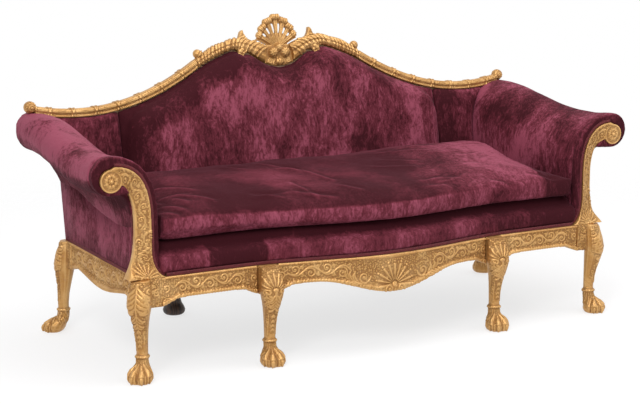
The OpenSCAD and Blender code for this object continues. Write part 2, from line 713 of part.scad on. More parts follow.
// Top of the full part of the pad; above it only the thin rim follows the crest
function shoulder_top(x) = let (s = (abs(x) - back_pad_half_w + shoulder_w) / shoulder_w)
    pad_top(x) - (s <= 0 ? 0 : shoulder_h * (1 - sqrt(max(0, 1 - s * s))));
function pad_depth(x, h) = pad_rim + (back_pad_t - pad_rim)
    * swell((back_pad_half_w - abs(x)) / pad_round) * swell((shoulder_top(x) - h) / pad_round)
    * (1 + 0.1 * cos(90 * x / back_pad_half_w) * sin(180 * min(1, h / pad_top(x))));
// Heights of one column of the pad: the rim, then down from the shoulder to the foot
function pad_heights(x) = let (top = pad_top(x), low = min(shoulder_top(x), top - 4 * gap))
    concat([top], [for (j = [0:pad_rows]) lerp(low, pad_foot_h, pow(j / pad_rows, 1.5))]);
module back_pad() {
    color(velvet) on_back() skin([for (s = back_pad_shares)
        let (x = s * back_pad_half_w)
        concat([[x, -gap, pad_foot_h], [x, -gap, pad_top(x)]],
            [for (h = pad_heights(x)) let (d = pad_depth(x, h),
                low = smooth(1 - (h - pad_foot_h) / pad_round))
                [x, -gap - d, h - d * tan(back_lean) * low]])]);
}

// Wing pads, between the middle pad and the arms
wing_t = 26;
wing_x0 = back_pad_half_w + 2 * gap;
wing_shares = [0, 0.15, 0.3, 0.42, 0.52, 0.6, 0.67, 0.74, 0.8, 0.86, 0.91, 0.96, 1];
function arm_edge_x(z) = let (path = arm_outline((slab_plane_y(z) - arm_y0) / (back_plane_y(z) - arm_y0)))
    z <= path[2][1] ? arm_in : lookup(z, [for (i = [2:9]) [path[i][1], path[i][0]]]);
wing_columns = [0, 0.05, 0.12, 0.25, 0.38, 0.5, 0.62, 0.75, 0.88, 0.95, 1];
function wing_ring(s) = let (h1 = lerp(pad_foot_h, pad_top(arm_in), s),
    x1 = arm_edge_x(rail_top + h1 * cos(back_lean)) - 3 * gap, drop = (1 - s) * tan(back_lean),
    front = [for (p = wing_columns) let (x = lerp(wing_x0, x1, p),
        d = wing_t * (0.35 + 0.65 * swell((1 - s) * 5)) * (0.5 + 0.65 * swell(4 * min(p, 1 - p))))
        [x, -gap - d, lerp(pad_foot_h - d * drop, pad_top(x), s)]],
    back = [for (p = wing_columns) let (x = lerp(wing_x0, x1, p))
        [x, -gap, lerp(pad_foot_h, pad_top(x), s)]])
    concat(front, reversed(back));
module wing_pad() {
    on_back() skin([for (s = wing_shares) wing_ring(s)], two_sided = true);
}
module right_wing_pad() { color(velvet) wing_pad(); }
module left_wing_pad() { color(velvet) mirror([1, 0, 0]) wing_pad(); }

// Crest

crest_proud = 16;
crest_depth = 44 / 42 * back_t;
// Section of the bound reeds over their fillet: depth share and height share
reed_section_shares = [[1, 0.35], [0.86, 0.8], [0.55, 1], [0.2, 0.86], [0, 0.45], [0, -0.05],
    [0.1, -0.42], [0.05, -0.55], [0.05, -1], [1, -1]];
bands = 7;
band_proud = 2.4;
band_w = 14;
// A point of the crest: v across its path at x, and y back from its front. Below the path it
// stays at x, so that the underside runs parallel to the rails and pads under it.
function crest_point(x, y, v) = let (a = crest_slope(x)) v < 0
    ? [x, y - crest_proud, crest_h(x) + v / cos(a)]
    : [x - v * sin(a), y - crest_proud, crest_h(x) + v * cos(a)];
function reed_ring(x, grow) = [for (s = reed_section_shares)
    crest_point(x, s[0] * crest_depth + grow * (s[0] - 0.5),
        s[1] * reed_h / 2 + (s[1] > -0.5 ? grow * s[1] : 0))];
module reeded_rail() {
    x0 = knob_x + gap;
    x1 = crest_end_x - 0.6 * ball_r;
    pitch = (x1 - x0) / (bands + 0.35);
    stations = concat([[x0, 0]],
        [for (i = [1:bands]) let (x = x0 + (i - 0.25) * pitch)
            each [[x - pitch / 2, 0], [x - band_w / 2, 0], [x - band_w / 4, band_proud],
                [x + band_w / 4, band_proud], [x + band_w / 2, 0]]],
        [[x1, 0]]);
    on_back() {
        skin([for (s = stations) reed_ring(s[0], s[1])]);
        translate([crest_end_x, ball_r - crest_proud, crest_h(crest_end_x) + 0.4 * ball_r])
            sphere(ball_r, $fn = 48);
    }
}
module right_reeded_rail() { color(gilt) reeded_rail(); }
module left_reeded_rail() { color(gilt) mirror([1, 0, 0]) reeded_rail(); }

// Acanthus scroll from the knob to the shell
leaf_section_shares = [[1, 0], [0.8, 0.75], [0.45, 1], [0.15, 0.8], [0, 0.25], [0.08, 0.05], [-0.04, -0.3],
    [0.1, -0.85], [0.5, -1], [1, -1]];
knob_r = 17;
// Upright leaf tip, drawn about a point on the path
leaf_tip = concat(bezier([[-0.75, 0.3], [-0.3, 0.45], [-0.12, 0.85], [-0.05, 1.36]] * leaf_h, 6),
    bezier([[-0.05, 1.36], [0.42, 1.2], [0.12, 0.72], [0.75, 0.3]] * leaf_h, 6));
leaf_tip_x = 142 / 900 * half_w;
module leaf_scroll() {
    on_back() {
        skin([for (i = [0:leaf_steps])
            let (s = i / leaf_steps, x = leaf_x(i),
                end = min(1, 4 * s, 8 * (1 - s)), grow = 1 + 0.08 * end * sin(1080 * s),
                up = crest_half(x) * grow, down = crest_half(x) + crest_curl(x) * cos(crest_slope(x)))
                [for (p = leaf_section_shares)
                    crest_point(x, p[0] * crest_depth, p[1] * (p[1] > 0 ? up : down))]]);
        translate([knob_x - knob_r / 2 - 2 * gap, knob_r - crest_proud, crest_h(knob_x)]) {
            cylinder(2 * knob_r, knob_r / 2, 0.4 * knob_r, $fn = 32);
            translate([0, 0, 2 * knob_r]) sphere(knob_r, $fn = 32);
        }
        translate([0, 0.75 * crest_depth - crest_proud, 0]) rotate([90, 0, 0])
            linear_extrude(crest_depth / 2) translate([leaf_tip_x, crest_h(leaf_tip_x)]) polygon(leaf_tip);
    }
}
module right_leaf_scroll() { color(gilt) leaf_scroll(); }
module left_leaf_scroll() { color(gilt) mirror([1, 0, 0]) leaf_scroll(); }

// Pierced scallop shell: tapered ribs that end in rolled lips, with open slots between them.
// Reach of each rib and width of its lip, from the middle rib outwards
rib_shares = [1, 0.93, 0.85, 0.79];
lip_shares = [1, 1, 0.8, 0.2];
rib_spread = 18.5;
shell_h = peak_h - 22 / 63 * leaf_rise;
lobe_r = 0.1 * shell_reach;
lip_half_w = 0.07 * shell_reach;
lip_core_share = 0.92;
slot_half_w = 0.034 * shell_reach;
function rib_reach(a) = shell_reach * lookup(abs(a) / rib_spread, [for (i = [0:3]) [i, rib_shares[i]]]);
// Lowest line the fan may reach beside the leaf scrolls
function shell_floor(x) = crest_h(x) + 1.12 * crest_half(x) / cos(crest_slope(x)) + gap - shell_h;
module shell_slot(a) {
    r = rib_reach(a);
    rotate(-a) polygon([[0, 0.4 * r], [slot_half_w, 0.56 * r], [slot_half_w, 0.7 * r], [0, 0.77 * r],
        [-slot_half_w, 0.7 * r], [-slot_half_w, 0.56 * r]]);
}
module shell_fan() {
    last = 61;
    steps = 26;
    foot = [for (k = [0.68, 0.58, 0.48, 0.34]) k * shell_reach];
    rotate([90, 0, 0]) translate([0, 0, -0.08 * shell_reach]) linear_extrude(0.12 * shell_reach)
        difference() {
            polygon(concat(
                [for (i = [-steps:steps]) let (a = i / steps * last, r = rib_reach(a)
                    * (0.87 + 0.04 * cos(360 * a / rib_spread))) [r * sin(a), r * cos(a)]],
                [for (x = foot) [x, shell_floor(x)]],
                [[foot[3], 0], [-foot[3], 0]],
                [for (i = [3:-1:0]) [-foot[i], shell_floor(foot[i])]]));
            for (i = [-3:2]) shell_slot((i + 0.5) * rib_spread);
        }
}
module crest_shell() {
    color(gilt) on_back() translate([0, crest_depth / 2 - crest_proud, shell_h]) {
        shell_fan();
        for (i = [-3:3]) {
            tip = rib_shares[abs(i)] * shell_reach - lobe_r;
            rotate([0, i * rib_spread, 0]) {
                translate([0, -0.03 * shell_reach, 0.1 * shell_reach])
                    cylinder(tip - 0.1 * shell_reach, 0.045 * shell_reach, 0.08 * shell_reach, $fn = 24);
                translate([0, -0.03 * shell_reach, tip]) {
                    w = lip_half_w * lip_shares[abs(i)];
                    for (side = [-1, 1]) translate([side * w, 0, 0]) sphere(lobe_r, $fn = 32);
                    rotate([0, 90, 0]) translate([0, 0, -w])
                        cylinder(2 * w, lip_core_share * lobe_r, lip_core_share * lobe_r, $fn = 32);
                }
            }
        }
        // Twin rosettes, the boss between them and the drop
        for (side = [-1, 1])
            translate([side * 0.2 * shell_reach, -0.08 * shell_reach, -0.14 * shell_reach])
                sphere(0.16 * shell_reach, $fn = 48);
        translate([0, -0.1 * shell_reach, 0]) sphere(0.13 * shell_reach, $fn = 32);
        translate([0, -0.06 * shell_reach, -0.42 * shell_reach]) sphere(0.12 * shell_reach, $fn = 32);
        // Carved cup between the ends of the leaf scrolls
        lean = crest_half(shell_half_w) * sin(crest_slope(shell_half_w));
        cup_w = shell_half_w - 2 * gap;
        rotate([90, 0, 0]) translate([0, 0, -crest_depth / 4]) linear_extrude(crest_depth / 2)
            polygon(concat([for (i = [-8:8]) let (x = i / 8 * cup_w)
                [x, crest_under(x) + gap - shell_h]],
                [[cup_w, crest_h(shell_half_w) - shell_h], [cup_w - lean, 0.08 * shell_reach],
                    [lean - cup_w, 0.08 * shell_reach], [-cup_w, crest_h(shell_half_w) - shell_h]]));
    }
}

// Seat upholstery

module seat_webbing() {
    z0 = rail_top + gap;
    across = 15;
    along = 6;
    y1 = slab_y - gap;
    color("peru") {
        for (i = [0:across - 1]) {
            x = lerp(-arm_in + strap_w, arm_in - strap_w, i / (across - 1));
            y0 = max(front_y(x - strap_w / 2), front_y(x + strap_w / 2)) + 0.6 * rail_t;
            translate([x - strap_w / 2, y0, z0]) cube([strap_w, y1 - y0, strap_t]);
        }
        for (i = [0:along - 1]) {
            y = lerp(arm_y0 + strap_w, y1 - strap_w, i / (along - 1));
            w = arm_in + arm_pad_t;
            translate([-w, y - strap_w / 2, z0 + strap_t + gap]) cube([2 * w, strap_w, strap_t]);
        }
    }
}

module seat_hessian() {
    n = 24;
    w = arm_in + arm_pad_t;
    front_w = waist_x - facing_w;
    color("tan") translate([0, 0, rail_top + 2 * (strap_t + gap) + gap]) linear_extrude(hessian_t)
        polygon(concat([for (i = [0:n]) let (x = lerp(-front_w, front_w, i / n))
            [x, front_y(x) + 0.8 * rail_t]],
            [[front_w, arm_y0 + gap], [w, arm_y0 + gap], [w, slab_y - gap], [-w, slab_y - gap],
                [-w, arm_y0 + gap], [-front_w, arm_y0 + gap]]));
}

// Back edges of the deck and cushion step round the middle pad
pad_step_w = 90;
pad_clear = 9;
function seat_back_y(x, z) = slab_plane_y(z) - gap - pad_clear
    - lerp(back_pad_t * 1.1, wing_t * 1.15,
        smooth((abs(x) - back_pad_half_w + 0.7 * pad_step_w) / pad_step_w));

back_foot_z = rail_top + pad_foot_h * cos(back_lean) - 2 * gap;
deck_shares = mirrored([1, 0.985, 0.94, 0.88, 0.8, 0.7, 0.6, 0.5, 0.4, 0.3, 0.2, 0.1, 0]);
deck_round = 42;
deck_set = 9;
module seat_deck() {
    w = arm_in - gap;
    color(velvet) difference() {
        skin([for (s = deck_shares)
            let (x = s * w, y0 = front_y(x) + deck_set, y1 = slab_y - 2 * gap,
                z1 = deck_top, k = deck_round)
            [[x, y1, deck_z], [x, y1, back_foot_z],
                [x, seat_back_y(x, deck_top), back_foot_z],
                [x, seat_back_y(x, deck_top), z1], [x, y0 + 3 * k, z1], [x, y0 + k, z1 - 0.06 * k],
                [x, y0 + 0.35 * k, z1 - 0.28 * k], [x, y0 + 0.04 * k, z1 - 0.8 * k],
                [x, y0 - 0.04 * k, z1 - 1.6 * k], [x, y0, deck_z]]]);
        for (side = [0, 1]) mirror([side, 0, 0])
            front_plate(face_y - front_bow, arm_y0 - face_y + front_bow + gap)
            polygon(concat(beside(facing_inner(), gap), reversed(facing_outer())));
    }
}

// Gimp along the tops of the front and side rails
module rail_gimp() {
    z0 = rail_top + gap;
    end_x = waist_x - facing_w;
    xs = concat([-end_x], [for (s = deck_shares) if (abs(s) * arm_in < end_x) s * (arm_in - gap)],
        [end_x]);
    color("#5a1020") {
        skin([for (x = xs) let (y = front_y(x) + deck_set - gap)
            [[x, y, z0], [x, y, z0 + gimp_h], [x, y - gimp_t, z0 + gimp_h], [x, y - gimp_t, z0]]]);
        for (side = [0, 1]) mirror([side, 0, 0])
            skin([for (t = [0, 1]) let (x = outside_x(t) + gap, z1 = z0 + gimp_h)
                [for (p = [[x, z0], [x, z1], [x + gimp_t, z1], [x + gimp_t, z0]]) arm_point(p, t)]]);
    }
}

module dust_cover() {
    n = 40;
    w = half_w - post_w - block_l - gap;
    y1 = rear_y - back_rail_t - gap;
    color("#222222") translate([0, 0, cross_z - cover_t]) linear_extrude(hessian_t)
        polygon(concat([for (i = [0:n]) let (x = lerp(-w, w, i / n))
            [x, front_y(abs(x) + post_w) + rail_t + 2 * gap]], [[w, y1], [-w, y1]]));
}

// Loose seat cushion: boxed sides that draw in between the seams, and a crowned top
cushion_shares = mirrored([1, 0.992, 0.965, 0.92, 0.86, 0.78, 0.68, 0.57, 0.46, 0.34, 0.22, 0.11, 0]);
cushion_side_gap = 4;
cushion_back_gap = 8;
cushion_bulge = 9;
cushion_front = 12;
// Top of the cushion from its back seam to its front seam: depth share and crown share
cushion_top_shares = [[0, 0.82], [0.07, 0.97], [0.2, 1], [0.42, 1], [0.62, 0.96], [0.78, 0.83],
    [0.88, 0.64], [0.95, 0.38], [1, 0]];
cushion_end_share = 1 / 28;
function cushion_end(s) = swell((1 - abs(s)) / cushion_end_share);
module seat_cushion() {
    w = arm_in - cushion_side_gap;
    z0 = cushion_z;
    z1 = cushion_z + cushion_h;
    color(velvet) skin([for (s = cushion_shares)
        let (x = s * w, e = cushion_end(s), inset = (1 - e) * cushion_bulge,
            y0 = front_y(x) + cushion_front + inset,
            y1 = seat_back_y(x, z0) - cushion_back_gap - inset,
            crown = cushion_crown * (1 - pow(abs(s), 6)) * (0.6 + 0.4 * e))
        concat(
            [[x, y1, z0 + 0.04 * cushion_h], [x, y1 + 0.5 * cushion_bulge, lerp(z0, z1, 0.5)]],
            [for (p = cushion_top_shares)
                [x, lerp(y1, y0 - 0.4 * cushion_bulge, p[0]), z1 + crown * p[1]]],
            [[x, y0 - cushion_bulge, lerp(z0, z1, 0.55)], [x, y0, z0 + 0.1 * cushion_h],
                [x, y0 + 0.15 * cushion_h, z0], [x, y1 - 0.15 * cushion_h, z0]])]);
}

front_left_seat_rail();
front_centre_seat_rail();
front_right_seat_rail();
left_seat_rail();
right_seat_rail();
back_seat_rail();
left_cross_rail();
right_cross_rail();
corner_blocks();
front_left_leg();
front_right_leg();
inner_left_leg();
inner_right_leg();
back_left_leg();
back_right_leg();
plain_left_leg();
plain_right_leg();
left_arm_facing();
right_arm_facing();
left_arm_top_rail();
right_arm_top_rail();
left_arm_low_rail();
right_arm_low_rail();
left_arm_pad();
right_arm_pad();
left_arm_border();
right_arm_border();
left_outside_arm();
right_outside_arm();
left_back_post();
right_back_post();
back_uprights();
back_low_rail();
back_top_rail();
back_webbing();
outside_back();
back_pad();
left_wing_pad();
right_wing_pad();
left_reeded_rail();
right_reeded_rail();
left_leaf_scroll();
right_leaf_scroll();
crest_shell();
seat_webbing();
seat_hessian();
seat_deck();
rail_gimp();
dust_cover();
seat_cushion();
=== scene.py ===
"""Looks of the carved giltwood sofa: plum crushed velvet, worn gilding and low-relief carving."""
import math
import random

import bmesh
import bpy
import numpy as np
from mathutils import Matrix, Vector


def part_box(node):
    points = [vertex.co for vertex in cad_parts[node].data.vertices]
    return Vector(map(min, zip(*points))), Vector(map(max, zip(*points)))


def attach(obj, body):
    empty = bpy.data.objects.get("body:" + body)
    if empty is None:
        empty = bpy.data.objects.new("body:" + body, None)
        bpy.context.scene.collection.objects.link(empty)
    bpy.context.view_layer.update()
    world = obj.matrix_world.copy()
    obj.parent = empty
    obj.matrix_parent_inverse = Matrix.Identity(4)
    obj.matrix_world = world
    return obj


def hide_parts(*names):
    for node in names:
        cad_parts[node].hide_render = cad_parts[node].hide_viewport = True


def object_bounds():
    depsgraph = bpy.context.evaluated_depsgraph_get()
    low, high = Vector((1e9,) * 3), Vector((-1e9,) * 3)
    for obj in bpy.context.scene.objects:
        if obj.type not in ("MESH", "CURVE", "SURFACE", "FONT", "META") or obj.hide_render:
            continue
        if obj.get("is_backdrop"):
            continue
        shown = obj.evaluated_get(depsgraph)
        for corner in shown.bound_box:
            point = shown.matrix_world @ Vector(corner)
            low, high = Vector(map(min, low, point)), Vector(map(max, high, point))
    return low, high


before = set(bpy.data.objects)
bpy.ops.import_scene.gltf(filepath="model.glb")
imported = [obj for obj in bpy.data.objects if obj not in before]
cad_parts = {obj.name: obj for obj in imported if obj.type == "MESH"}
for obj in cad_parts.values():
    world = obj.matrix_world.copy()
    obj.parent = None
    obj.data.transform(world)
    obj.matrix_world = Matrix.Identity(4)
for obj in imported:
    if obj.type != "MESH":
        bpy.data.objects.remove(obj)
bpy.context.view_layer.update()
bpy.ops.object.select_all(action="DESELECT")
scene = bpy.context.scene

# Sizes of the frame, in metres, as in the part's source
HALF_W, FACE_Y, REAR_Y = 0.9, -0.38, 0.315
RAIL_TOP, RAIL_H = 0.337, 0.072
BOW, BOW_HALF_W, INNER_LEG_X, POST_W = 0.072, 0.56, 0.455, 0.064
APRON_DROP, SIDE_DROP, EAR_DROP, EAR_W = 0.058, 0.034, 0.024, 0.06
SLAB_Y, LEAN = 0.273, math.radians(10.8)
FACING_W, FACING_T, SCROLL_R = 0.048, 0.039, 0.037
FACING_Y = FACE_Y + 0.01
WAIST_X, EYE_X, EYE_Z = 0.864, 0.997, 0.662
DECK_TOP, CUSHION_Z, CUSHION_H = 0.444, 0.4443, 0.074

SIDES = (("left", -1), ("right", 1))
DOWN, UP = -math.pi / 2, math.pi / 2


# Shapes in numbers

def smooth(t):
    t = np.clip(t, 0, 1)
    return t * t * (3 - 2 * t)


def ramp(value, start, length):
    """From 0 at the start to 1 after the length; a negative length runs the other way."""
    return smooth((value - start) / length)


def bell(value, middle, width):
    return np.exp(-((value - middle) / width) ** 2)


def front_y(x):
    """The bowed face of the seat."""
    x = np.abs(x)
    return FACE_Y - np.where(x >= BOW_HALF_W, 0, BOW * (1 + np.cos(np.pi * x / BOW_HALF_W)) / 2)


def ear_at(d):
    return EAR_DROP * (1 - smooth(d / EAR_W))


def apron_z(x):
    """Lower edge of the front rail."""
    x, half = np.abs(x), 0.64 * INNER_LEG_X
    return (RAIL_TOP - RAIL_H - np.where(x >= half, 0, APRON_DROP * (1 + np.cos(np.pi * x / half)) / 2)
            - ear_at(np.abs(x - INNER_LEG_X) - POST_W / 2) - ear_at(HALF_W - POST_W - x))


def side_z(y):
    """Lower edge of a side rail."""
    length = REAR_Y - FACE_Y - 2 * POST_W
    t = (y - FACE_Y - POST_W) / length
    return (RAIL_TOP - RAIL_H - SIDE_DROP * np.sin(np.pi * smooth(t)) - ear_at(t * length)
            - ear_at((1 - t) * length))


def curve(a, b, c, d, n=12):
    """Points of a cubic curve."""
    t = np.linspace(0, 1, n)[:, None]
    a, b, c, d = (np.array(p, float) for p in (a, b, c, d))
    return (1 - t) ** 3 * a + 3 * (1 - t) ** 2 * t * b + 3 * (1 - t) * t * t * c + t ** 3 * d


def heading(a):
    """The unit vector at an angle."""
    return np.array((math.cos(a), math.sin(a)))


def along(line):
    """Distance run at each point of a line."""
    return np.concatenate([[0], np.cumsum(np.linalg.norm(np.diff(line, axis=0), axis=1))])


def up_the_back(p):
    """(depth behind the back's front plane, height up it) of points."""
    dy, dz = p[:, 1] - SLAB_Y, p[:, 2] - RAIL_TOP
    return dy * math.cos(LEAN) - dz * math.sin(LEAN), dy * math.sin(LEAN) + dz * math.cos(LEAN)


def crest_h(x):
    """Height of the crest's path up the back."""
    d = np.abs(x)
    outside = 0.45 + 0.1486 * ((d - 0.811) / 0.469) ** 2
    leaves = 0.6616 - 0.063 * (np.clip(d - 0.168, 0, None) / 0.174) ** 1.6
    dip = 0.6036 + 0.058 * smooth(d / 0.168)
    return np.where(d >= 0.342, outside, np.where(d >= 0.168, leaves, dip))


def wave(p, seed, pitch, stretch=(1, 1, 1)):
    """Smooth random waves over points, from -1 to 1, the same each run."""
    pick = random.Random(seed)
    out, total = np.zeros(len(p)), 0.0
    q = p * np.array(stretch) / pitch
    for octave in range(3):
        for _ in range(5):
            a = np.array([pick.gauss(0, 1) for _ in range(3)])
            a *= 2 * math.pi * (1.7 ** octave) / np.linalg.norm(a) * pick.uniform(0.6, 1.2)
            out += np.sin(q @ a + pick.uniform(0, 6.3)) * 0.62 ** octave
            total += 0.62 ** octave
    return out / total * 2


# Work on meshes

def read(items, field, width, kind=float):
    """One field of a mesh's items, with a row for each."""
    out = np.empty(len(items) * width, dtype=kind)
    items.foreach_get(field, out)
    return out.reshape(-1, width)


def points(o):
    return read(o.data.vertices, "co", 3)


def normals(o):
    return read(o.data.vertex_normals, "vector", 3)


def edges(o):
    return read(o.data.edges, "vertices", 2, np.int32).T


def set_points(o, p):
    o.data.vertices.foreach_set("co", np.ascontiguousarray(p).ravel())
    o.data.update()


def averaged(p, ends, rounds):
    """Values moved halfway to the mean of their neighbours, round by round."""
    a, b = ends
    n = len(p)
    p = p.reshape(n, -1)
    many = np.maximum(np.bincount(a, minlength=n) + np.bincount(b, minlength=n), 1)[:, None]
    for _ in range(rounds):
        near = np.stack([np.bincount(a, p[b, k], n) + np.bincount(b, p[a, k], n)
                         for k in range(p.shape[1])], 1) / many
        p = p + 0.5 * (near - p)
    return p


def faired(o, rounds):
    """The points with flats and corners eased away while the bulk stays."""
    p, ends = points(o), edges(o)
    soft = averaged(p, ends, rounds)
    return soft + averaged(p - soft, ends, rounds) * 0.9


def set_attribute(o, name, values):
    layer = o.data.attributes.get(name) or o.data.attributes.new(name, "FLOAT", "POINT")
    layer.data.foreach_set("value", np.ascontiguousarray(values, dtype=np.float32))


def added(o, kind, **settings):
    """A modifier on the active piece."""
    bpy.ops.object.select_all(action="DESELECT")
    o.select_set(True)
    bpy.context.view_layer.objects.active = o
    modifier = o.modifiers.new(kind.title(), kind)
    for key, value in settings.items():
        setattr(modifier, key, value)
    return modifier


def applied(o, kind, **settings):
    bpy.ops.object.modifier_apply(modifier=added(o, kind, **settings).name)


def cleaned(mesh, merge=0.0):
    """Near points merged where asked, and faces turned outwards."""
    shape = bmesh.new()
    shape.from_mesh(mesh)
    if merge:
        bmesh.ops.remove_doubles(shape, verts=shape.verts, dist=merge)
    bmesh.ops.recalc_face_normals(shape, faces=shape.faces)
    shape.to_mesh(mesh)
    shape.free()


def linked(name, data):
    """A new object in the scene."""
    o = bpy.data.objects.new(name, data)
    scene.collection.objects.link(o)
    return o


def copied(node, name):
    """A joined-up copy of a CAD node's mesh as a new piece that stands for it."""
    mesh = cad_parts[node].data.copy()
    mesh.name = name
    mesh.materials.clear()
    cleaned(mesh, 2e-5)
    return linked(name, mesh)


def meshed(o, voxel):
    """The piece as one skin of even small faces."""
    applied(o, "REMESH", mode="VOXEL", voxel_size=voxel, use_smooth_shade=True)
    return o


def finished(o, node, material, body="frame"):
    """The piece with its material and its ride, in place of its CAD node."""
    o.data.materials.clear()
    o.data.materials.append(material)
    o.data.shade_smooth()
    if node:
        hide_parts(node)
    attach(o, body)
    o.select_set(False)
    return o


# Materials

class Signal:
    """A value in a node tree; a sum or a product with it is a Math node."""

    def __init__(self, tree, socket):
        self.tree, self.socket = tree, socket

    def worked(self, operation, other):
        return put(self.tree, "Math", {0: self, 1: other}, operation=operation)

    def __add__(self, other):
        return self.worked("ADD", other)

    def __sub__(self, other):
        return self.worked("SUBTRACT", other)

    def __mul__(self, other):
        return self.worked("MULTIPLY", other)


def put(tree, kind, feeds, output=0, **settings):
    """One output of a new node; feeds pairs its inputs with signals or values."""
    node = tree.nodes.new(f"ShaderNode{kind}")
    for key, value in settings.items():
        setattr(node, key, value)
    for label, source in feeds.items():
        if isinstance(source, Signal):
            tree.links.new(source.socket, node.inputs[label])
        else:
            node.inputs[label].default_value = source
    return Signal(tree, node.outputs[output])


def noise(place, scale, detail=4.0, rough=0.55, warp=0.0):
    return put(place.tree, "TexNoise", {"Vector": place, "Scale": scale, "Detail": detail, "Roughness": rough,
                                        "Distortion": warp}, "Fac")


def upright(place, share):
    """The place drawn out along Z."""
    return put(place.tree, "Mapping", {"Vector": place, "Scale": (1, 1, share)})


def ranged(value, low, high, to_low=0.0, to_high=1.0):
    return put(value.tree, "MapRange", {"Value": value, "From Min": low, "From Max": high, "To Min": to_low,
                                        "To Max": to_high}, interpolation_type="SMOOTHSTEP")


def mixed(factor, a, b):
    return put(factor.tree, "Mix", {0: factor, 6: a, 7: b}, 2, data_type="RGBA")


def bumped(height, distance, normal=None):
    feeds = {"Height": height, "Distance": distance, "Strength": 1.0}
    return put(height.tree, "Bump", feeds | ({"Normal": normal} if normal else {}))


def vector_maths(operation, feeds):
    return put(feeds[0].tree, "VectorMath", feeds, operation=operation)


def crushed_pile(place, nap_and_light, crush, deep, plum, blush):
    """Velvet pile pressed into streaks and patches."""
    drift = put(place.tree, "TexNoise", {"Vector": place, "Scale": 6.0, "Detail": 2.0}, "Color")
    wander = vector_maths("SCALE", {0: vector_maths("SUBTRACT", {0: drift, 1: (0.5, 0.5, 0.5)}), 3: 0.05})
    moved = vector_maths("ADD", {0: place, 1: wander})
    streak = noise(upright(moved, 0.34), 84.0, 5.0, 0.7, 0.6)
    patch = noise(upright(moved, 0.5), 6.5, 4.0, 0.6, 0.6)
    tuft = noise(upright(moved, 0.5), 150.0, 4.0, 0.65, 1.2)
    # The tone takes in the piece's attribute, which carries its nap together with painted light and shade.
    tone = (streak * 0.6 + patch * 0.75 + tuft * 0.34 - 0.845) * crush + 0.335 + nap_and_light
    colour = mixed(ranged(tone, 0.84, 1.03), mixed(ranged(tone, 0.7, 0.88), deep, plum), blush)
    pressed = bumped(tuft * 0.7 + streak, 0.0016)
    return colour, ranged(tone, 0.6, 1.1, 0.88, 0.62), bumped(noise(place, 900.0, 2.0), 0.00025, pressed)


def worn_gilding(place, relief, gold, pale, clay, hollow):
    """Gold leaf rubbed through to its clay ground on the high points and dull in the hollows."""
    cloud = noise(place, 14.0, 5.0, 0.6, 0.5)
    grit = noise(place, 120.0, 5.0, 0.65)
    fleck = noise(place, 420.0, 3.0, 0.6)
    high = ranged(relief + grit * 0.35, 0.72, 0.98)
    deep = ranged(relief + grit * 0.2, 0.6, 0.3)
    rubbed = ranged(grit, 0.54, 0.7) * ranged(cloud, 0.62, 0.4)
    colour = mixed(ranged(cloud, 0.44, 0.76), gold, pale)
    for share, tint in ((high * 0.55, pale), (rubbed * 0.75, clay), (ranged(fleck, 0.62, 0.72) * 0.5, clay),
                        (deep * 0.46, hollow)):
        colour = mixed(share, colour, tint)
    punch = put(place.tree, "TexVoronoi", {"Vector": place, "Scale": 330.0}, "Distance")
    ground = ranged(punch, 0.1, 0.45) * ranged(relief, 0.62, 0.42)
    worn = bumped(grit * 0.6 + fleck, 0.0006)
    return (colour, ranged(grit + deep, 0.4, 1.4, 0.36, 0.66), bumped(ground, 0.0011, worn),
            ranged(rubbed + deep, 0.1, 0.9, 0.62, 0.1))


def wood_grain(place, dark, light):
    """Fine straight grain along Z of the vector it is given."""
    length = upright(place, 0.06)
    rings = put(place.tree, "TexWave", {"Vector": length, "Scale": 28.0, "Distortion": 7.0, "Detail": 3.0,
                                        "Detail Scale": 1.6}, "Fac")
    fibre = noise(length, 260.0, 4.0, 0.7)
    pore = ranged(noise(length, 620.0, 2.0), 0.6, 0.72)
    colour = mixed(ranged(rings * 0.5 + fibre * 0.6, 0.3, 0.8), dark, light)
    return mixed(pore * 0.6, colour, dark), ranged(fibre, 0.3, 0.7, 0.42, 0.7), bumped(fibre - pore, 0.0005)


def plain_weave(place, threads, shade, yarn):
    """Warp over weft, with as many threads to the metre as it is given."""
    scaled = vector_maths("SCALE", {0: place, 3: threads})
    warp, weft = (put(place.tree, "TexWave", {"Vector": scaled, "Scale": 0.5, "Distortion": 0.5,
                                              "Detail": 1.0}, "Fac", bands_direction=way) for way in "XY")
    rise = warp.worked("MAXIMUM", weft)
    slub = noise(place, 60.0, 4.0, 0.6)
    colour = mixed(ranged(rise, 0.35, 0.95), shade, yarn)
    return mixed(ranged(slub, 0.45, 0.7) * 0.5, colour, shade), bumped(rise, 0.0007)


def group(build, inputs, outputs):
    """A shader node group; inputs and outputs are kinds of socket by name."""
    tree = bpy.data.node_groups.new(build.__name__, "ShaderNodeTree")
    for way, sockets in (("INPUT", inputs), ("OUTPUT", outputs)):
        for label, kind in sockets.items():
            tree.interface.new_socket(label, in_out=way, socket_type=f"NodeSocket{kind}")
    given, last = tree.nodes.new("NodeGroupInput").outputs, tree.nodes.new("NodeGroupOutput").inputs
    for label, made in zip(outputs, build(*(Signal(tree, given[label]) for label in inputs))):
        tree.links.new(made.socket, last[label])
    return tree


PLACE, HARD = {"Vector": "Vector"}, {"Color": "Color", "Roughness": "Float", "Normal": "Vector"}
PILE = group(crushed_pile, PLACE | {"Nap_and_light": "Float", "Crush": "Float", "Deep": "Color", "Plum": "Color",
                                    "Blush": "Color"}, HARD)
GILDING = group(worn_gilding, PLACE | {"Relief": "Float", "Gold": "Color", "Pale": "Color", "Clay": "Color",
                                       "Hollow": "Color"}, HARD | {"Leaf": "Float"})
GRAIN = group(wood_grain, PLACE | {"Dark": "Color", "Light": "Color"}, HARD)
WEAVE = group(plain_weave, PLACE | {"Threads": "Float", "Shade": "Color", "Yarn": "Color"},
              {"Color": "Color", "Normal": "Vector"})


def rgb(r, g, b):
    return (r, g, b, 1.0)


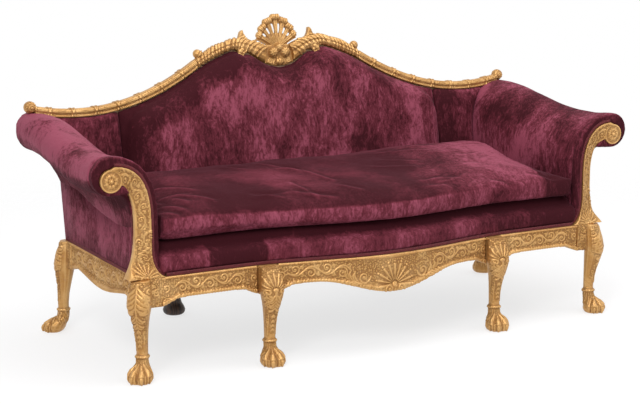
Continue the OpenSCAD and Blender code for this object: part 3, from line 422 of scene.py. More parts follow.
def emptied(owner, kind):
    """The owner's emptied node tree, and the surface input of its new output."""
    owner.use_nodes = True
    owner.node_tree.nodes.clear()
    return owner.node_tree, owner.node_tree.nodes.new(f"ShaderNodeOutput{kind}").inputs["Surface"]


def dressed(name, shared, turn=None, shader=None, **values):
    """A material round a shared group: values go to the group, shader to the shader's own sockets, and
    inputs called Nap, Crush or Relief read the piece's attribute of that name."""
    material = bpy.data.materials.new(name)
    tree, surface = emptied(material, "Material")
    skin = tree.nodes.new("ShaderNodeBsdfPrincipled")
    tree.links.new(skin.outputs[0], surface)
    place = put(tree, "TexCoord", {}, "Object")
    if turn:
        place = put(tree, "Mapping", {"Vector": place, "Rotation": turn})
    look = tree.nodes.new("ShaderNodeGroup")
    look.node_tree = shared
    tree.links.new(place.socket, look.inputs["Vector"])
    for label, value in values.items():
        look.inputs[label].default_value = value
    for label in ("Nap_and_light", "Crush", "Relief"):
        if label in look.inputs:
            told = put(tree, "Attribute", {}, "Fac", attribute_name=label.lower())
            tree.links.new(told.socket, look.inputs[label])
    for made in look.outputs:
        socket = {"Color": "Base Color", "Leaf": "Metallic"}.get(made.name, made.name)
        tree.links.new(made, skin.inputs[socket])
    for label, value in (shader or {}).items():
        skin.inputs[label].default_value = value
    return material


velvet = dressed("plum_crushed_velvet", PILE, Deep=rgb(0.045, 0.0072, 0.0112),
                 Plum=rgb(0.121, 0.0205, 0.0325), Blush=rgb(0.285, 0.064, 0.102),
                 shader={"Sheen Weight": 0.12, "Sheen Roughness": 0.3, "Sheen Tint": rgb(1.0, 0.38, 0.52),
                         "Specular IOR Level": 0.07})
gilt = dressed("worn_giltwood", GILDING, Gold=rgb(0.44, 0.216, 0.056), Pale=rgb(0.67, 0.4, 0.155),
               Clay=rgb(0.33, 0.145, 0.075), Hollow=rgb(0.25, 0.112, 0.034))
OAK = {"Dark": rgb(0.02, 0.009, 0.005), "Light": rgb(0.075, 0.034, 0.016)}
BEECH = {"Dark": rgb(0.32, 0.19, 0.09), "Light": rgb(0.55, 0.37, 0.21)}
ALONG_X, ALONG_Y = (0, math.pi / 2, 0), (math.pi / 2, 0, 0)
stained = dressed("dark_stained_wood", GRAIN, shader={"Coat Weight": 0.2, "Coat Roughness": 0.35}, **OAK)
stained_long = dressed("dark_stained_rail", GRAIN, ALONG_X, **OAK)
beech = dressed("raw_beech", GRAIN, **BEECH)
beech_long = dressed("raw_beech_rail", GRAIN, ALONG_X, **BEECH)
beech_deep = dressed("raw_beech_arm_rail", GRAIN, ALONG_Y, **BEECH)
jute = dressed("jute_webbing", WEAVE, Threads=700.0, Shade=rgb(0.19, 0.115, 0.05), Yarn=rgb(0.45, 0.31, 0.16),
               shader={"Roughness": 0.9})
hessian = dressed("coarse_hessian", WEAVE, Threads=620.0, Shade=rgb(0.2, 0.13, 0.06),
                  Yarn=rgb(0.5, 0.37, 0.21), shader={"Roughness": 0.92})
black_cloth = dressed("black_dust_cloth", WEAVE, Threads=1500.0, Shade=rgb(0.008, 0.008, 0.009),
                      Yarn=rgb(0.03, 0.03, 0.034), shader={"Roughness": 0.85})
braid = dressed("dark_red_gimp", WEAVE, Threads=1300.0, Shade=rgb(0.06, 0.006, 0.009),
                Yarn=rgb(0.18, 0.016, 0.022),
                shader={"Roughness": 0.75, "Sheen Weight": 0.1, "Sheen Roughness": 0.4,
                        "Sheen Tint": rgb(0.8, 0.25, 0.3)})


# Soft pieces

def stuffed(o, cap):
    """The piece swells as if filled, by no more than cap."""
    rest = points(o)
    modifier = added(o, "CLOTH")
    cloth = modifier.settings
    cloth.quality = 4
    cloth.use_pressure = True
    cloth.uniform_pressure_force = 4.0
    cloth.effector_weights.gravity = 0
    modifier.point_cache.frame_start, modifier.point_cache.frame_end = 1, 20
    for step in range(1, 21):
        scene.frame_set(step)
    bpy.ops.object.modifier_apply(modifier=modifier.name)
    scene.frame_set(1)
    move = points(o) - rest
    far = np.linalg.norm(move, axis=1, keepdims=True)
    set_points(o, rest + move * np.minimum(1, cap / np.maximum(far, 1e-9)))


def near_line(p, line):
    """Distance from each point to a chain of points."""
    best = np.full(len(p), 9.0)
    for a, b in zip(line[:-1], line[1:]):
        d = b - a
        t = np.clip(((p - a) @ d) / max(d @ d, 1e-12), 0, 1)
        best = np.minimum(best, np.linalg.norm(p - a - t[:, None] * d, axis=1))
    return best


def pushed(o, height):
    """Moves each point out along its normal."""
    set_points(o, points(o) + normals(o) * height[:, None])


def creased(p, lines, height, width):
    """Height of soft folds along lines drawn in the plane of the first two coordinates."""
    out, flat = np.zeros(len(p)), p[:, :2]
    for line in lines:
        low, high = line.min(0) - 3 * width, line.max(0) + 3 * width
        here = ((flat > low) & (flat < high)).all(1)
        if here.any():
            q = flat[here]
            ends = np.minimum(np.linalg.norm(q - line[0], axis=1), np.linalg.norm(q - line[-1], axis=1))
            out[here] += height * bell(near_line(q, line), 0, width) * (1 - bell(ends, 0, 1.5 * width))
    return out


def padded_piece(node, name, voxel, rounds, nap_and_light, shape, crush=None, body="frame", split=0):
    """The nap-and-light function of (p, n) tells how light the pile is, from its nap and from painted light and
    shade; crush(p, n) tells how streaked it is.
    """
    o = meshed(copied(node, name), voxel)
    set_points(o, faired(o, rounds))
    shape(o)
    if split:
        applied(o, "SUBSURF", levels=split, render_levels=split)
    p, n = points(o), normals(o)
    set_attribute(o, "nap_and_light", nap_and_light(p, n))
    set_attribute(o, "crush", crush(p, n) if crush else np.ones(len(p)))
    return finished(o, node, velvet, body)


# Seat cushion

def edge_of_crown(y):
    """Where the top falls away towards the right arm."""
    return 0.84 - 0.15 * ramp(y, 0.2, -0.55)


def crease_lines():
    """Folds: random ones in five places, then three into the right front corner."""
    pick = random.Random(11)
    lines = []
    for x0, y0, x1, y1, many in ((-0.8, -0.36, -0.45, -0.1, 9), (-0.35, -0.4, 0.1, -0.05, 9),
                                 (0.15, -0.4, 0.5, -0.05, 9), (0.5, -0.34, 0.8, 0.1, 9),
                                 (-0.75, -0.05, 0.75, 0.15, 12)):
        for _ in range(many):
            at = np.array((pick.uniform(x0, x1), pick.uniform(y0, y1)))
            turn = pick.uniform(-0.9, 0.5) + (0.2 if at[0] > 0 else 2.6)
            to, bend = heading(turn) * pick.uniform(0.08, 0.2), (0, pick.uniform(-0.03, 0.03))
            lines.append(curve(at, at + to * 0.33 + bend, at + to * 0.66 + bend, at + to, 7))
    for x0, y0, x1, y1 in ((0.69, -0.31, 0.82, -0.17), (0.73, -0.335, 0.825, -0.27),
                           (0.7, -0.22, 0.8, -0.04)):
        lines.append(curve((x0, y0), (x0 + 0.05, y0 + 0.02), (x1 - 0.03, y1 - 0.04), (x1, y1), 7))
    return lines


CREASES = crease_lines()
TROUGHS = [line + 0.013 for line in CREASES]


def front_lift(x):
    """How far the cushion's lower front edge stands off the deck, or droops over it."""
    return np.interp(x, (-0.8, -0.5, 0, 0.6), (0.021, 0.019, 0.0, -0.008))


def front_seam(o, height, depth):
    """A seam along the cushion's front draws the cloth in; height(x) is above its underside."""
    p, line = points(o), []
    for x in np.linspace(-0.826, 0.826, 60):
        z = CUSHION_Z + float(height(x))
        near = (np.abs(p[:, 0] - x) < 0.012) & (np.abs(p[:, 2] - z) < 0.008) & (p[:, 1] < 0)
        line.append((x, p[near, 1].min() if near.any() else float(front_y(x)) + 0.008, z))
    pushed(o, -depth * bell(near_line(p, np.array(line)), 0, 0.0045))


def cushion_shape(o):
    pushed(o, np.full(len(o.data.vertices), -0.005))
    stuffed(o, 0.011)
    p, n = points(o), normals(o)
    x, y, z = p.T
    # Folds and soft waves
    top = ramp(n[:, 2], 0.35, 0.4)
    rise = creased(p, CREASES, 0.0045, 0.011) - creased(p, TROUGHS, 0.0034, 0.012)
    rise += 0.0028 * wave(p, 5, 0.2, (1, 1.3, 0.4)) * top
    side = (1 - top) * ramp(z, CUSHION_Z + 0.012, 0.02)
    p += n * (rise * top + side * 0.0016 * wave(p, 6, 0.07, (1, 1, 0.35)))[:, None]
    # The lower front edge, undercut
    ahead = ramp(y - front_y(x), 0.07, -0.07)
    lift = front_lift(x)
    z += lift * ahead * ramp(z, CUSHION_Z + 0.04, -0.04) * (1 + 0.3 * wave(p, 13, 0.35, (1, 0, 0)))
    y += 0.02 * ahead * ramp(z, CUSHION_Z + lift + 0.01, -0.009)
    # A plump left front, a full rear, and a worn edge on the right
    z += 0.013 * ramp(x, -0.42, -0.3) * ramp(y, 0.12, -0.3) * ramp(z, CUSHION_Z + 0.02, 0.04)
    full = ramp(y, -0.34, 0.42) * (1 - ramp(y, 0.195, 0.045))
    full *= ramp(x, edge_of_crown(y), -0.1) * ramp(x, -0.82, 0.17)
    z += (0.032 + 0.011 * ramp(x, 0.1, 0.3)) * full * ramp(z, CUSHION_Z + 0.05, 0.02)
    z -= 0.009 * ramp(x, edge_of_crown(y), 0.05) * ramp(z, CUSHION_Z + 0.05, 0.03)
    p[:, 2] = np.maximum(z, CUSHION_Z + 0.0004 + 1.4 * ahead * np.minimum(lift, 0))
    set_points(o, p)
    front_seam(o, lambda x: CUSHION_H - 0.001 + 0.012 * ramp(x, -0.42, -0.3), 0.0042)
    front_seam(o, lambda x: front_lift(x) + 0.01, 0.0036)


def cushion_nap_and_light(p, n):
    x, y = p[:, 0], p[:, 1]
    top = ramp(n[:, 2], 0.3, 0.4)
    # Painted shade past the edge of the crown. The sides are painted a little lighter than the top. The top is
    # painted darker overall, but brighter towards the right and in a painted pool of light left of the middle.
    fallen = ramp(x, edge_of_crown(y), 0.02)
    glow = bell(x, -0.32, 0.16) * bell(y, -0.12, 0.1)
    tone = 0.53 + 0.035 * (1 - top) - 0.15 * fallen
    tone += top * (-0.13 + 0.19 * ramp(x, 0.15, 0.45) * (1 - fallen) + 0.12 * glow)
    # Painted highlights along the fold ridges and painted shade in the troughs beside them.
    folds = creased(p, CREASES, 0.09, 0.007) - creased(p, TROUGHS, 0.08, 0.011)
    return tone + (0.04 + 0.03 * top) * wave(p, 21, 0.33, (1, 1, 0)) + folds * top


def cushion_crush(p, n):
    return 0.8 - 0.4 * ramp(n[:, 2], 0.3, 0.4) * (1 - ramp(p[:, 0], 0.05, 0.45))


padded_piece("seat_cushion", "loose_seat_cushion", 0.0115, 3, cushion_nap_and_light, cushion_shape, cushion_crush,
             "cushion", 1)


# Back, wings, deck and arms

def back_shape(o):
    p, n = points(o), normals(o)
    depth, _ = up_the_back(p)
    set_points(o, p - n * 0.004)
    stuffed(o, 0.008)
    held = ramp(depth, -0.02, 0.018)[:, None]
    front = ramp(-n[:, 1], 0.3, 0.4)
    rise = front * 0.0022 * wave(p, 8, 0.16, (1, 1, 0.5))
    set_points(o, points(o) * (1 - held) + p * held + n * rise[:, None])


def back_nap_and_light(p, n):
    """Painted shade under the crest and down the left edge, painted light towards the right, and darker in two
    places pressed flat.
    """
    x, z = p[:, 0], p[:, 2]
    below = crest_h(x) - up_the_back(p)[1] + 0.025 * wave(p, 27, 0.12)
    crest = (1 - ramp(below, 0.07, 0.08)) * (0.4 + 0.6 * ramp(x, 0.24, -0.12))
    edge = smooth((-0.5 - x + 0.02 * wave(p, 28, 0.1)) / 0.09)
    return (0.565 - 0.19 * crest - 0.15 * edge * (1 - 0.6 * crest) + 0.07 * ramp(x, 0.3, 0.25)
            - 0.15 * bell(x, 0.49, 0.05) * bell(z, 0.68, 0.06)
            - 0.13 * bell(x, 0.25, 0.07) * bell(z, 0.6, 0.04)
            + 0.05 * wave(p, 23, 0.35, (1, 0, 0.7)))


padded_piece("back_pad", "middle_back_pad", 0.0075, 8, back_nap_and_light, back_shape)


def rippled(o, seed, height):
    pushed(o, height * wave(points(o), seed, 0.12, (1, 0.7, 0.6)))
    return points(o)


def deck_shape(o):
    """The top front edge is lower and set back, which opens the gap under the cushion."""
    p = rippled(o, 3, 0.001)
    x, y, z = p.T
    shoulder = ramp(z, DECK_TOP - 0.055, 0.055) * ramp(y - front_y(x), 0.09, -0.07)
    z -= 0.022 * shoulder
    y += 0.02 * shoulder
    set_points(o, p)


def deck_nap_and_light(p, n):
    """Painted shade in the gap under the cushion, and darker in three places brushed the other way."""
    x, y, z = p.T
    tone = 0.53 + 0.07 * wave(p, 31, 0.3, (1, 0, 0))
    tone -= 0.24 * ramp(z, 0.405, 0.02) * (1 - ramp(y - front_y(x), 0.12, 0.1))
    for low, high, dark in ((-0.66, -0.45, 0.2), (0.4, 0.63, 0.07), (0.63, 0.84, 0.16)):
        tone -= dark * ((x > low) & (x < high))
    return tone


padded_piece("seat_deck", "sprung_seat_deck", 0.011, 3, deck_nap_and_light, deck_shape,
             lambda p, n: np.full(len(p), 0.7))


def arm_shape(o):
    """Soft waves, and the back of the roll pressed up against the crest rail."""
    p = rippled(o, 7, 0.0016)
    p[:, 2] += 0.0075 * ramp(p[:, 1], 0.1, 0.15) * ramp(p[:, 2], 0.67, 0.06)
    set_points(o, p)


def arm_nap_and_light(way):
    """Painted shade under the roll and a painted shadow of the scroll towards the front; the left arm is
    painted lighter and the right one darker towards the top.
    """
    def nap_and_light(p, n):
        x, y, z = p.T
        high = ramp(z, 0.58, 0.12)
        tone = 0.62 - 0.12 * high if way > 0 else 0.56 + 0.08 * high
        outer = ramp(way * x, 0.9, 0.03)
        under = ramp(-n[:, 2], 0.05, 0.35)
        ahead = ramp(y, -0.1, -0.2) * ramp(z, 0.68, -0.06)
        return tone - outer * (0.14 * under + 0.16 * ahead) + 0.11 * wave(p, 41, 0.22, (1, 1, 0.6))
    return nap_and_light


def wing_shape(way):
    """Soft waves, and the seam edge pressed against the middle of the back."""
    def shape(o):
        p = rippled(o, 9, 0.001)
        p[:, 0] -= way * 0.0035 * ramp(np.abs(p[:, 0]), 0.69, -0.015)
        set_points(o, p)
    return shape


for side, way in SIDES:
    padded_piece(f"{side}_arm_pad", f"{side}_arm_stuffing", 0.0075, 7, arm_nap_and_light(way), arm_shape)
    padded_piece(f"{side}_wing_pad", f"{side}_wing_stuffing", 0.005, 6,
                 lambda p, n: 0.475 + 0.05 * wave(p, 43, 0.2), wing_shape(way))
    # The front border's pile is painted lighter where it faces up: painted light on its top.
    padded_piece(f"{side}_arm_border", f"{side}_arm_front_border", 0.003, 8,
                 lambda p, n: 0.42 + 0.13 * ramp(n[:, 2], -0.1, 0.6), lambda o: None)


# Sheets

def sheet(node, name, material, slot, nap_and_light=0.5, tuck=0.0):
    """A stretched sheet; its upper edge goes on by the length of the tuck."""
    o = copied(node, name)
    low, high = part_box(node)
    wide, long = sorted((h - l for l, h in zip(low, high)), reverse=True)[:2]
    long += tuck
    p = points(o)
    if tuck:
        p[:, 2] += tuck * (p[:, 2] > p[:, 2].min() + 0.06)
        set_points(o, p)
    if slot == "velvet":
        set_attribute(o, "nap_and_light", nap_and_light + 0.05 * wave(p, len(name), 0.3))
        set_attribute(o, "crush", np.ones(len(p)))
    return finished(o, node, material)


sheet("outside_back", "outside_back_cover", velvet, "velvet")
for side, way in SIDES:
    sheet(f"{side}_outside_arm", f"{side}_outside_arm_cover", velvet, "velvet", 0.59, 0.014)
sheet("seat_hessian", "seat_hessian_sheet", hessian, "hessian")
sheet("dust_cover", "bottom_dust_cloth", black_cloth, "black_cloth")
sheet("seat_webbing", "seat_webbing_straps", jute, "jute_webbing")
sheet("back_webbing", "back_webbing_straps", jute, "jute_webbing")


# Carving: tapering ridges, cut into the face of a finely meshed copy of each gilt piece

def vein(line, widths, h):
    """A ridge along a line; widths are at its start, middle and end, or one for all."""
    return np.array(line, float), np.broadcast_to(widths, 3), h


def spot(x, y, r, h):
    """A round bead or bud."""
    return vein([(x, y), (x + r / 20, y)], r, h)


def round_the_circle(many, start=0.0):
    return start + np.arange(many) * 2 * math.pi / many


def spiral(x, y, r, start, turns, end_share=0.22, n=22):
    t = np.linspace(0, 1, n)
    a = start + t * turns * 2 * math.pi
    k = r * (1 - (1 - end_share) * t ** 0.8)
    return np.stack([x + k * np.cos(a), y + k * np.sin(a)], 1)


def scroll(x, y, r, start, turns, w, h):
    """A volute that winds in to a bud."""
    return [vein(spiral(x, y, r, start, turns), (w, w * 0.85, w * 0.5), h), spot(x, y, r * 0.24, h * 1.15)]


def spray(x, y, turn, size, pairs, w, h, bend=0.0, spread=0.55):
    """An acanthus frond: midrib and paired leaflets that bend away from it."""
    to = heading(turn)
    side = np.array((-to[1], to[0]))

    def rib(t):
        return (x, y) + to * size * t + side * bend * t * t

    out = [vein(rib(np.linspace(0, 1, 9)[:, None]), (w * 0.7, w * 0.6, w * 0.25), h)]
    for i in range(pairs):
        s = 0.08 + 0.8 * i / pairs
        far = size * spread * (1 - 0.55 * s) * (1 - 0.25 * (i % 2))
        for way in (-1, 1):
            leaflet = [rib(s) + far * (to * ahead + side * way * aside)
                       for ahead, aside in ((0, 0), (0.4, 0.22), (0.85, 0.5), (0.72, 0.92))]
            out.append(vein(curve(*leaflet, 7), (w * 0.5, w * 0.95, w * 0.7), h * 0.85))
    return out


def fan(x, y, r, turn, spread, ribs, w, h):
    """A shell: ribs from a foot at x, y, with a scalloped rim and a curl at each side."""
    out, foot = [spot(x, y, r * 0.13, h * 1.2)], np.array((x, y))
    for k in np.linspace(-0.5, 0.5, ribs):
        d = heading(turn + k * spread) * r * (1 - 0.5 * k * k)
        out.append(vein([foot + d * share for share in (0.2, 0.6, 0.86)], (w * 0.5, w * 0.9, w * 1.3), h))
        out.append(spot(*(foot + d), w * 1.15, h * 1.1))
    for way in (-1, 1):
        a = turn + way * (spread / 2 + 0.45)
        out += scroll(*(foot + heading(a) * r * 0.34), r * 0.2, a, -way * 1.1, w, h)
    return out


def rosette(x, y, r, petals, h, turn=0.0):
    out = [spot(x, y, r * 0.24, h * 1.25)]
    for a in round_the_circle(petals, turn):
        petal = [(x, y) + heading(a) * r * share for share in (0.34, 0.6, 0.92)]
        out.append(vein(petal, (r * 0.1, r * 0.2, r * 0.12), h))
    return out


def vine(x0, x1, pitch, strip, w, h):
    """A running scroll along the first axis: an S-shaped stem with a volute in each hollow.

    strip(x) gives (middle, half height) of the strip there.
    """
    cells = max(1, round(abs(x1 - x0) / pitch))
    step = (x1 - x0) / cells
    stem = [(x, strip(x)[0] + 0.5 * strip(x)[1] * math.sin(math.pi * (x - x0) / step))
            for x in np.linspace(x0, x1, cells * 10 + 1)]
    out = []
    for i in range(cells):
        out.append(vein(stem[i * 10:i * 10 + 11], (w * 0.8, w, w * 0.8), h * 0.9))
        x, way = x0 + (i + 0.55) * step, 1 - 2 * (i % 2)
        mid, high = strip(x)
        out += scroll(x, mid - way * 0.26 * high, min(0.66 * high, 0.42 * abs(step)), way * (UP + 0.6),
                      -way * 1.35, w * 0.9, h)
        mid, high = strip(x0 + i * step)
        for k in (-1, 1):
            turn = k * 1.15 if step > 0 else math.pi - k * 1.15
            out += spray(x0 + (i + 0.05) * step, mid + k * 0.2 * high, turn, 0.62 * high, 2, w * 0.7, h * 0.8,
                         k * -0.003)
    return out


def carved(uv, strokes):
    """Height over the chart at each point; strokes of negative height cut in."""
    order = np.argsort(uv[:, 0])
    q, rise, cuts = uv[order], np.zeros(len(uv)), np.zeros(len(uv))
    for line, widths, h in strokes:
        reach = max(widths)
        low, high = line.min(0) - reach, line.max(0) + reach
        i, j = np.searchsorted(q[:, 0], (low[0], high[0]))
        near = np.nonzero((q[i:j, 1] > low[1]) & (q[i:j, 1] < high[1]))[0] + i
        if not len(near):
            continue
        a, d = line[:-1], np.diff(line, axis=0)
        away = q[near][:, None] - a
        t = np.clip((away * d).sum(2) / np.maximum((d * d).sum(1), 1e-14), 0, 1)
        far = np.linalg.norm(away - t[..., None] * d, axis=2)
        k, rows = far.argmin(1), np.arange(len(near))
        run = (k + t[rows, k]) / len(d)
        x = far[rows, k] / np.interp(run, (0, 0.5, 1), widths)
        shape = h * np.maximum(0, 1 - x * x) ** 0.7
        if h > 0:
            rise[near] = np.maximum(rise[near], shape)
        else:
            cuts[near] = np.minimum(cuts[near], shape)
    out = np.zeros(len(uv))
    out[order] = rise + cuts
    return out


def filled(strokes, low, high, inside, pitch, seed, h=0.002):
    """The carving with small curls and buds wherever it leaves the ground bare."""
    pick = random.Random(seed)
    places = []
    for i, x in enumerate(np.arange(low[0], high[0], pitch)):
        for y in np.arange(low[1] + (i % 2) * pitch / 2, high[1], pitch):
            places.append((x + pick.uniform(-0.2, 0.2) * pitch, y + pick.uniform(-0.2, 0.2) * pitch))
    places = np.array(places)
    taken = np.zeros(len(places))
    for step in ((0, 0), (1, 0), (-1, 0), (0, 1), (0, -1)):
        taken = np.maximum(taken, carved(places + np.array(step) * 0.0022, strokes))
    out = list(strokes)
    for (x, y), busy in zip(places, taken):
        turn, kind, size = pick.uniform(0, 6.3), pick.random(), pick.uniform(0.8, 1.2)
        if busy > 0 or not inside(x, y):
            continue
        if kind < 0.4:
            out.append(vein(spiral(x, y, 0.0038 * size, turn, 0.8, 0.4, 7), (0.0012, 0.0019, 0.0015), h))
        elif kind < 0.8:
            for a in (turn - 0.9, turn, turn + 0.9):
                bend, tip = heading(a) * 0.0028, heading(a + 0.3) * 0.0052 * size
                out.append(vein([(x, y), (x, y) + bend, (x, y) + tip], (0.0009, 0.0018, 0.0006), h))
        else:
            out.append(spot(x, y, 0.0023 * size, h))
    return out


def weathered(o, lift, field):
    """The relief attribute: low in hollows and on the punched ground, high on edges that get rubbed."""
    p, n, ends = points(o), normals(o), edges(o)
    edge = ((p - averaged(p, ends, 5)) * n).sum(1)
    broad = ((p - averaged(p, ends, 30)) * n).sum(1)
    ground = field * (1 - np.clip(lift / 0.0016, 0, 1))
    relief = 0.56 + 0.26 * np.clip(edge / 0.00022, -1, 1) + 0.16 * np.clip(broad / 0.0011, -1, 1)
    relief -= 0.2 * ground
    set_attribute(o, "relief", np.clip(averaged(relief, ends, 1)[:, 0], 0, 1))


def carve(node, name, voxel, charts, rounds=3, joints=(), shape=None):
    """charts(p, n) gives a list of (uv, weight, strokes, field, sunk); joints are (axis, value) planes
    that the fairing leaves sharp, so that neighbouring pieces still close up."""
    o = meshed(copied(node, name), voxel)
    p = points(o)
    loose = np.ones(len(p))
    for axis, value in joints:
        loose = np.minimum(loose, ramp(np.abs(p[:, axis] - value), 0.001, 0.003))
    set_points(o, p + (faired(o, rounds) - p) * loose[:, None])
    if shape:
        shape(o)
    p, n = points(o), normals(o)
    move, lift, ground = np.zeros((3, len(p)))
    for uv, weight, strokes, field, sunk in charts(p, n):
        here = weight > 0.01
        high = np.zeros(len(p))
        high[here] = carved(uv[here], strokes)
        move += weight * (high - sunk * field * (high < 0.0003))
        lift = np.maximum(lift, high * weight)
        ground = np.maximum(ground, field * weight)
    p += n * move[:, None]
    p[:, 2] = np.maximum(p[:, 2], 0)
    set_points(o, p)
    weathered(o, lift, ground)
    return finished(o, node, gilt)


def faces(n, way, low=0.3, high=0.65):
    """Share of each point's normal that looks the given way."""
    return ramp(n @ np.array(way, float), low, high - low)


def band(value, low, high, soft):
    return ramp(value, low, soft) * ramp(value, high, -soft)


# Seat rails

VINE_W, VINE_H = 0.0042, 0.0034


def rail_vine(x0, x1, bottom):
    """The vine in the sunk field of a rail whose lower edge is bottom(x)."""
    def strip(x):
        z = float(bottom(x))
        high = RAIL_TOP - z
        return z + 0.55 * high, 0.39 * high
    return vine(x0, x1, 0.054, strip, VINE_W, VINE_H)


def rope(x0, x1, bottom):
    """Slanting gadroons along the bead of the lower edge."""
    out, slant = [], np.array((0.0032, 0.0055))
    for x in np.arange(x0, x1, 0.011):
        at = np.array((x, float(bottom(x)) + 0.0055))
        out.append(vein([at - slant, at + slant], 0.0028, 0.0013))
    return out


def ears(ends, bottom):
    """A rosette, a scroll and a frond beside each leg, where the rail turns down."""
    out = []
    for x, way in ends:
        z = float(bottom(x))
        out += rosette(x + way * 0.017, z + 0.024, 0.0145, 7, 0.003)
        out += scroll(x + way * 0.016, z + 0.058, 0.013, DOWN, way * 1.2, 0.0034, 0.003)
        out += spray(x + way * 0.032, z + 0.02, UP * (1 - way) - way * 0.15, 0.05, 4, 0.0044, 0.003,
                     0.014 * way)
    return out


def carve_rail(name, strokes, axis, looks, bottom, ends, seed, joints, insets=(0.003, 0.004)):
    """Carves a rail along an axis. Small carving fills its field and a rope follows its lower edge; the
    insets are how far these stop short of the rail's ends."""
    (start, end), (field_in, rope_in) = ends, insets

    def inside(x, z):
        low = float(bottom(x))
        return 0.17 < (z - low) / (RAIL_TOP - low) < 0.9

    def charts(p, n):
        low = bottom(p[:, axis])
        share = (p[:, 2] - low) / (RAIL_TOP - low)
        return [(p[:, [axis, 2]], faces(n, looks), strokes, band(share, 0.16, 0.94, 0.04), 0.0009)]

    x0, x1 = start + field_in, end - field_in
    lowest = min(float(bottom(x)) for x in np.linspace(x0, x1, 9))
    strokes = filled(strokes, (x0, lowest), (x1, RAIL_TOP), inside, 0.0082, seed)
    strokes += rope(start + rope_in, end - rope_in, bottom)
    carve(f"{name}_seat_rail", f"{name}_rail_carved", 0.0019, charts, joints=joints + [(2, RAIL_TOP)])


near, inner, outer = INNER_LEG_X - POST_W / 2, INNER_LEG_X + POST_W / 2, HALF_W - POST_W
inner_legs = [(0, x) for x in (-inner, -near, near, inner)]
centre = fan(0, 0.232, 0.08, UP, 3.3, 11, 0.0042, 0.004)
centre += [spot(0.09 * math.sin(a), 0.232 + 0.087 * math.cos(a), 0.003, 0.0026)
           for a in np.linspace(-1.85, 1.85, 37)]
for way in (-1, 1):
    centre += scroll(way * 0.117, 0.266, 0.024, 0 if way < 0 else math.pi, way * 1.3, VINE_W, VINE_H)
    centre += spray(way * 0.13, 0.246, UP - way * 1.25, 0.07, 5, 0.0052, 0.0034, way * 0.012)
    centre += spray(way * 0.098, 0.224, DOWN + way * 1.2, 0.06, 4, 0.0046, 0.003, way * 0.014)
    centre += rail_vine(way * 0.165, way * 0.385, apron_z)
centre += ears(((-near, 1), (near, -1)), apron_z)
carve_rail("front_centre", centre, 0, (0, -1, 0), apron_z, (-0.42, 0.42), 2, inner_legs, (0, 0.01))
for side, way in SIDES:
    part = rail_vine(way * (inner + 0.05), way * (outer - 0.05), apron_z)
    part += ears(((way * inner, way), (way * outer, -way)), apron_z)
    carve_rail(f"front_{side}", part, 0, (0, -1, 0), apron_z, sorted((way * inner, way * outer)), 3,
               inner_legs + [(0, way * outer)])
    y0, y1 = FACE_Y + POST_W, REAR_Y - POST_W
    part = rail_vine(y0 + 0.05, y1 - 0.05, side_z) + ears(((y0, 1), (y1, -1)), side_z)
    carve_rail(side, part, 1, (way, 0, 0), side_z, (y0, y1), 4, [(1, y0), (1, y1)])


# Legs

PAW_R = 0.04


def paw_strokes():
    """Hair, knuckles and claws, over the angle round the foot times PAW_R and the height."""
    out, pick = [], random.Random(4)

    def stroke(steps, widths, h):
        out.append(vein([(a * PAW_R, z) for a, z in steps], widths, h))

    hair = ((0.082, 0.017, 17, 0), (0.07, 0.02, 15, 0.9), (0.055, 0.022, 13, 1.6))
    for row, (z, long, many, bare) in enumerate(hair):
        for i in range(many):
            a = (i + 0.5 * (row % 2)) / many * 2 * math.pi - math.pi
            if abs(a) < bare:
                continue
            drift = pick.uniform(-0.12, 0.12)
            stroke([(a, z), (a + drift, z - long * 0.5), (a + drift * 2.2, z - long)],
                   (0.0022, 0.0034, 0.0008), 0.0024)
    for toe in (-60, -20, 20, 60):
        a = math.radians(toe)
        stroke([(a * 0.7, 0.066), (a * 0.85, 0.05), (a, 0.038)], (0.003, 0.0062, 0.0075), 0.0032)
        stroke([(a, 0.04), (a, 0.034), (a, 0.028)], (0.0075, 0.009, 0.007), 0.0046)
        stroke([(a, 0.021), (a, 0.012), (a, 0.003)], (0.0055, 0.0046, 0.0016), 0.005)
        stroke([(a - 0.15, 0.024), (a, 0.0265), (a + 0.15, 0.024)], (0.0012, 0.0016, 0.0012), -0.0014)
    for gap in (-80, -40, 0, 40, 80):
        a = math.radians(gap)
        stroke([(a * 0.8, 0.056), (a, 0.036), (a, 0.006)], (0.0016, 0.0036, 0.0026), -0.0034)
    return out


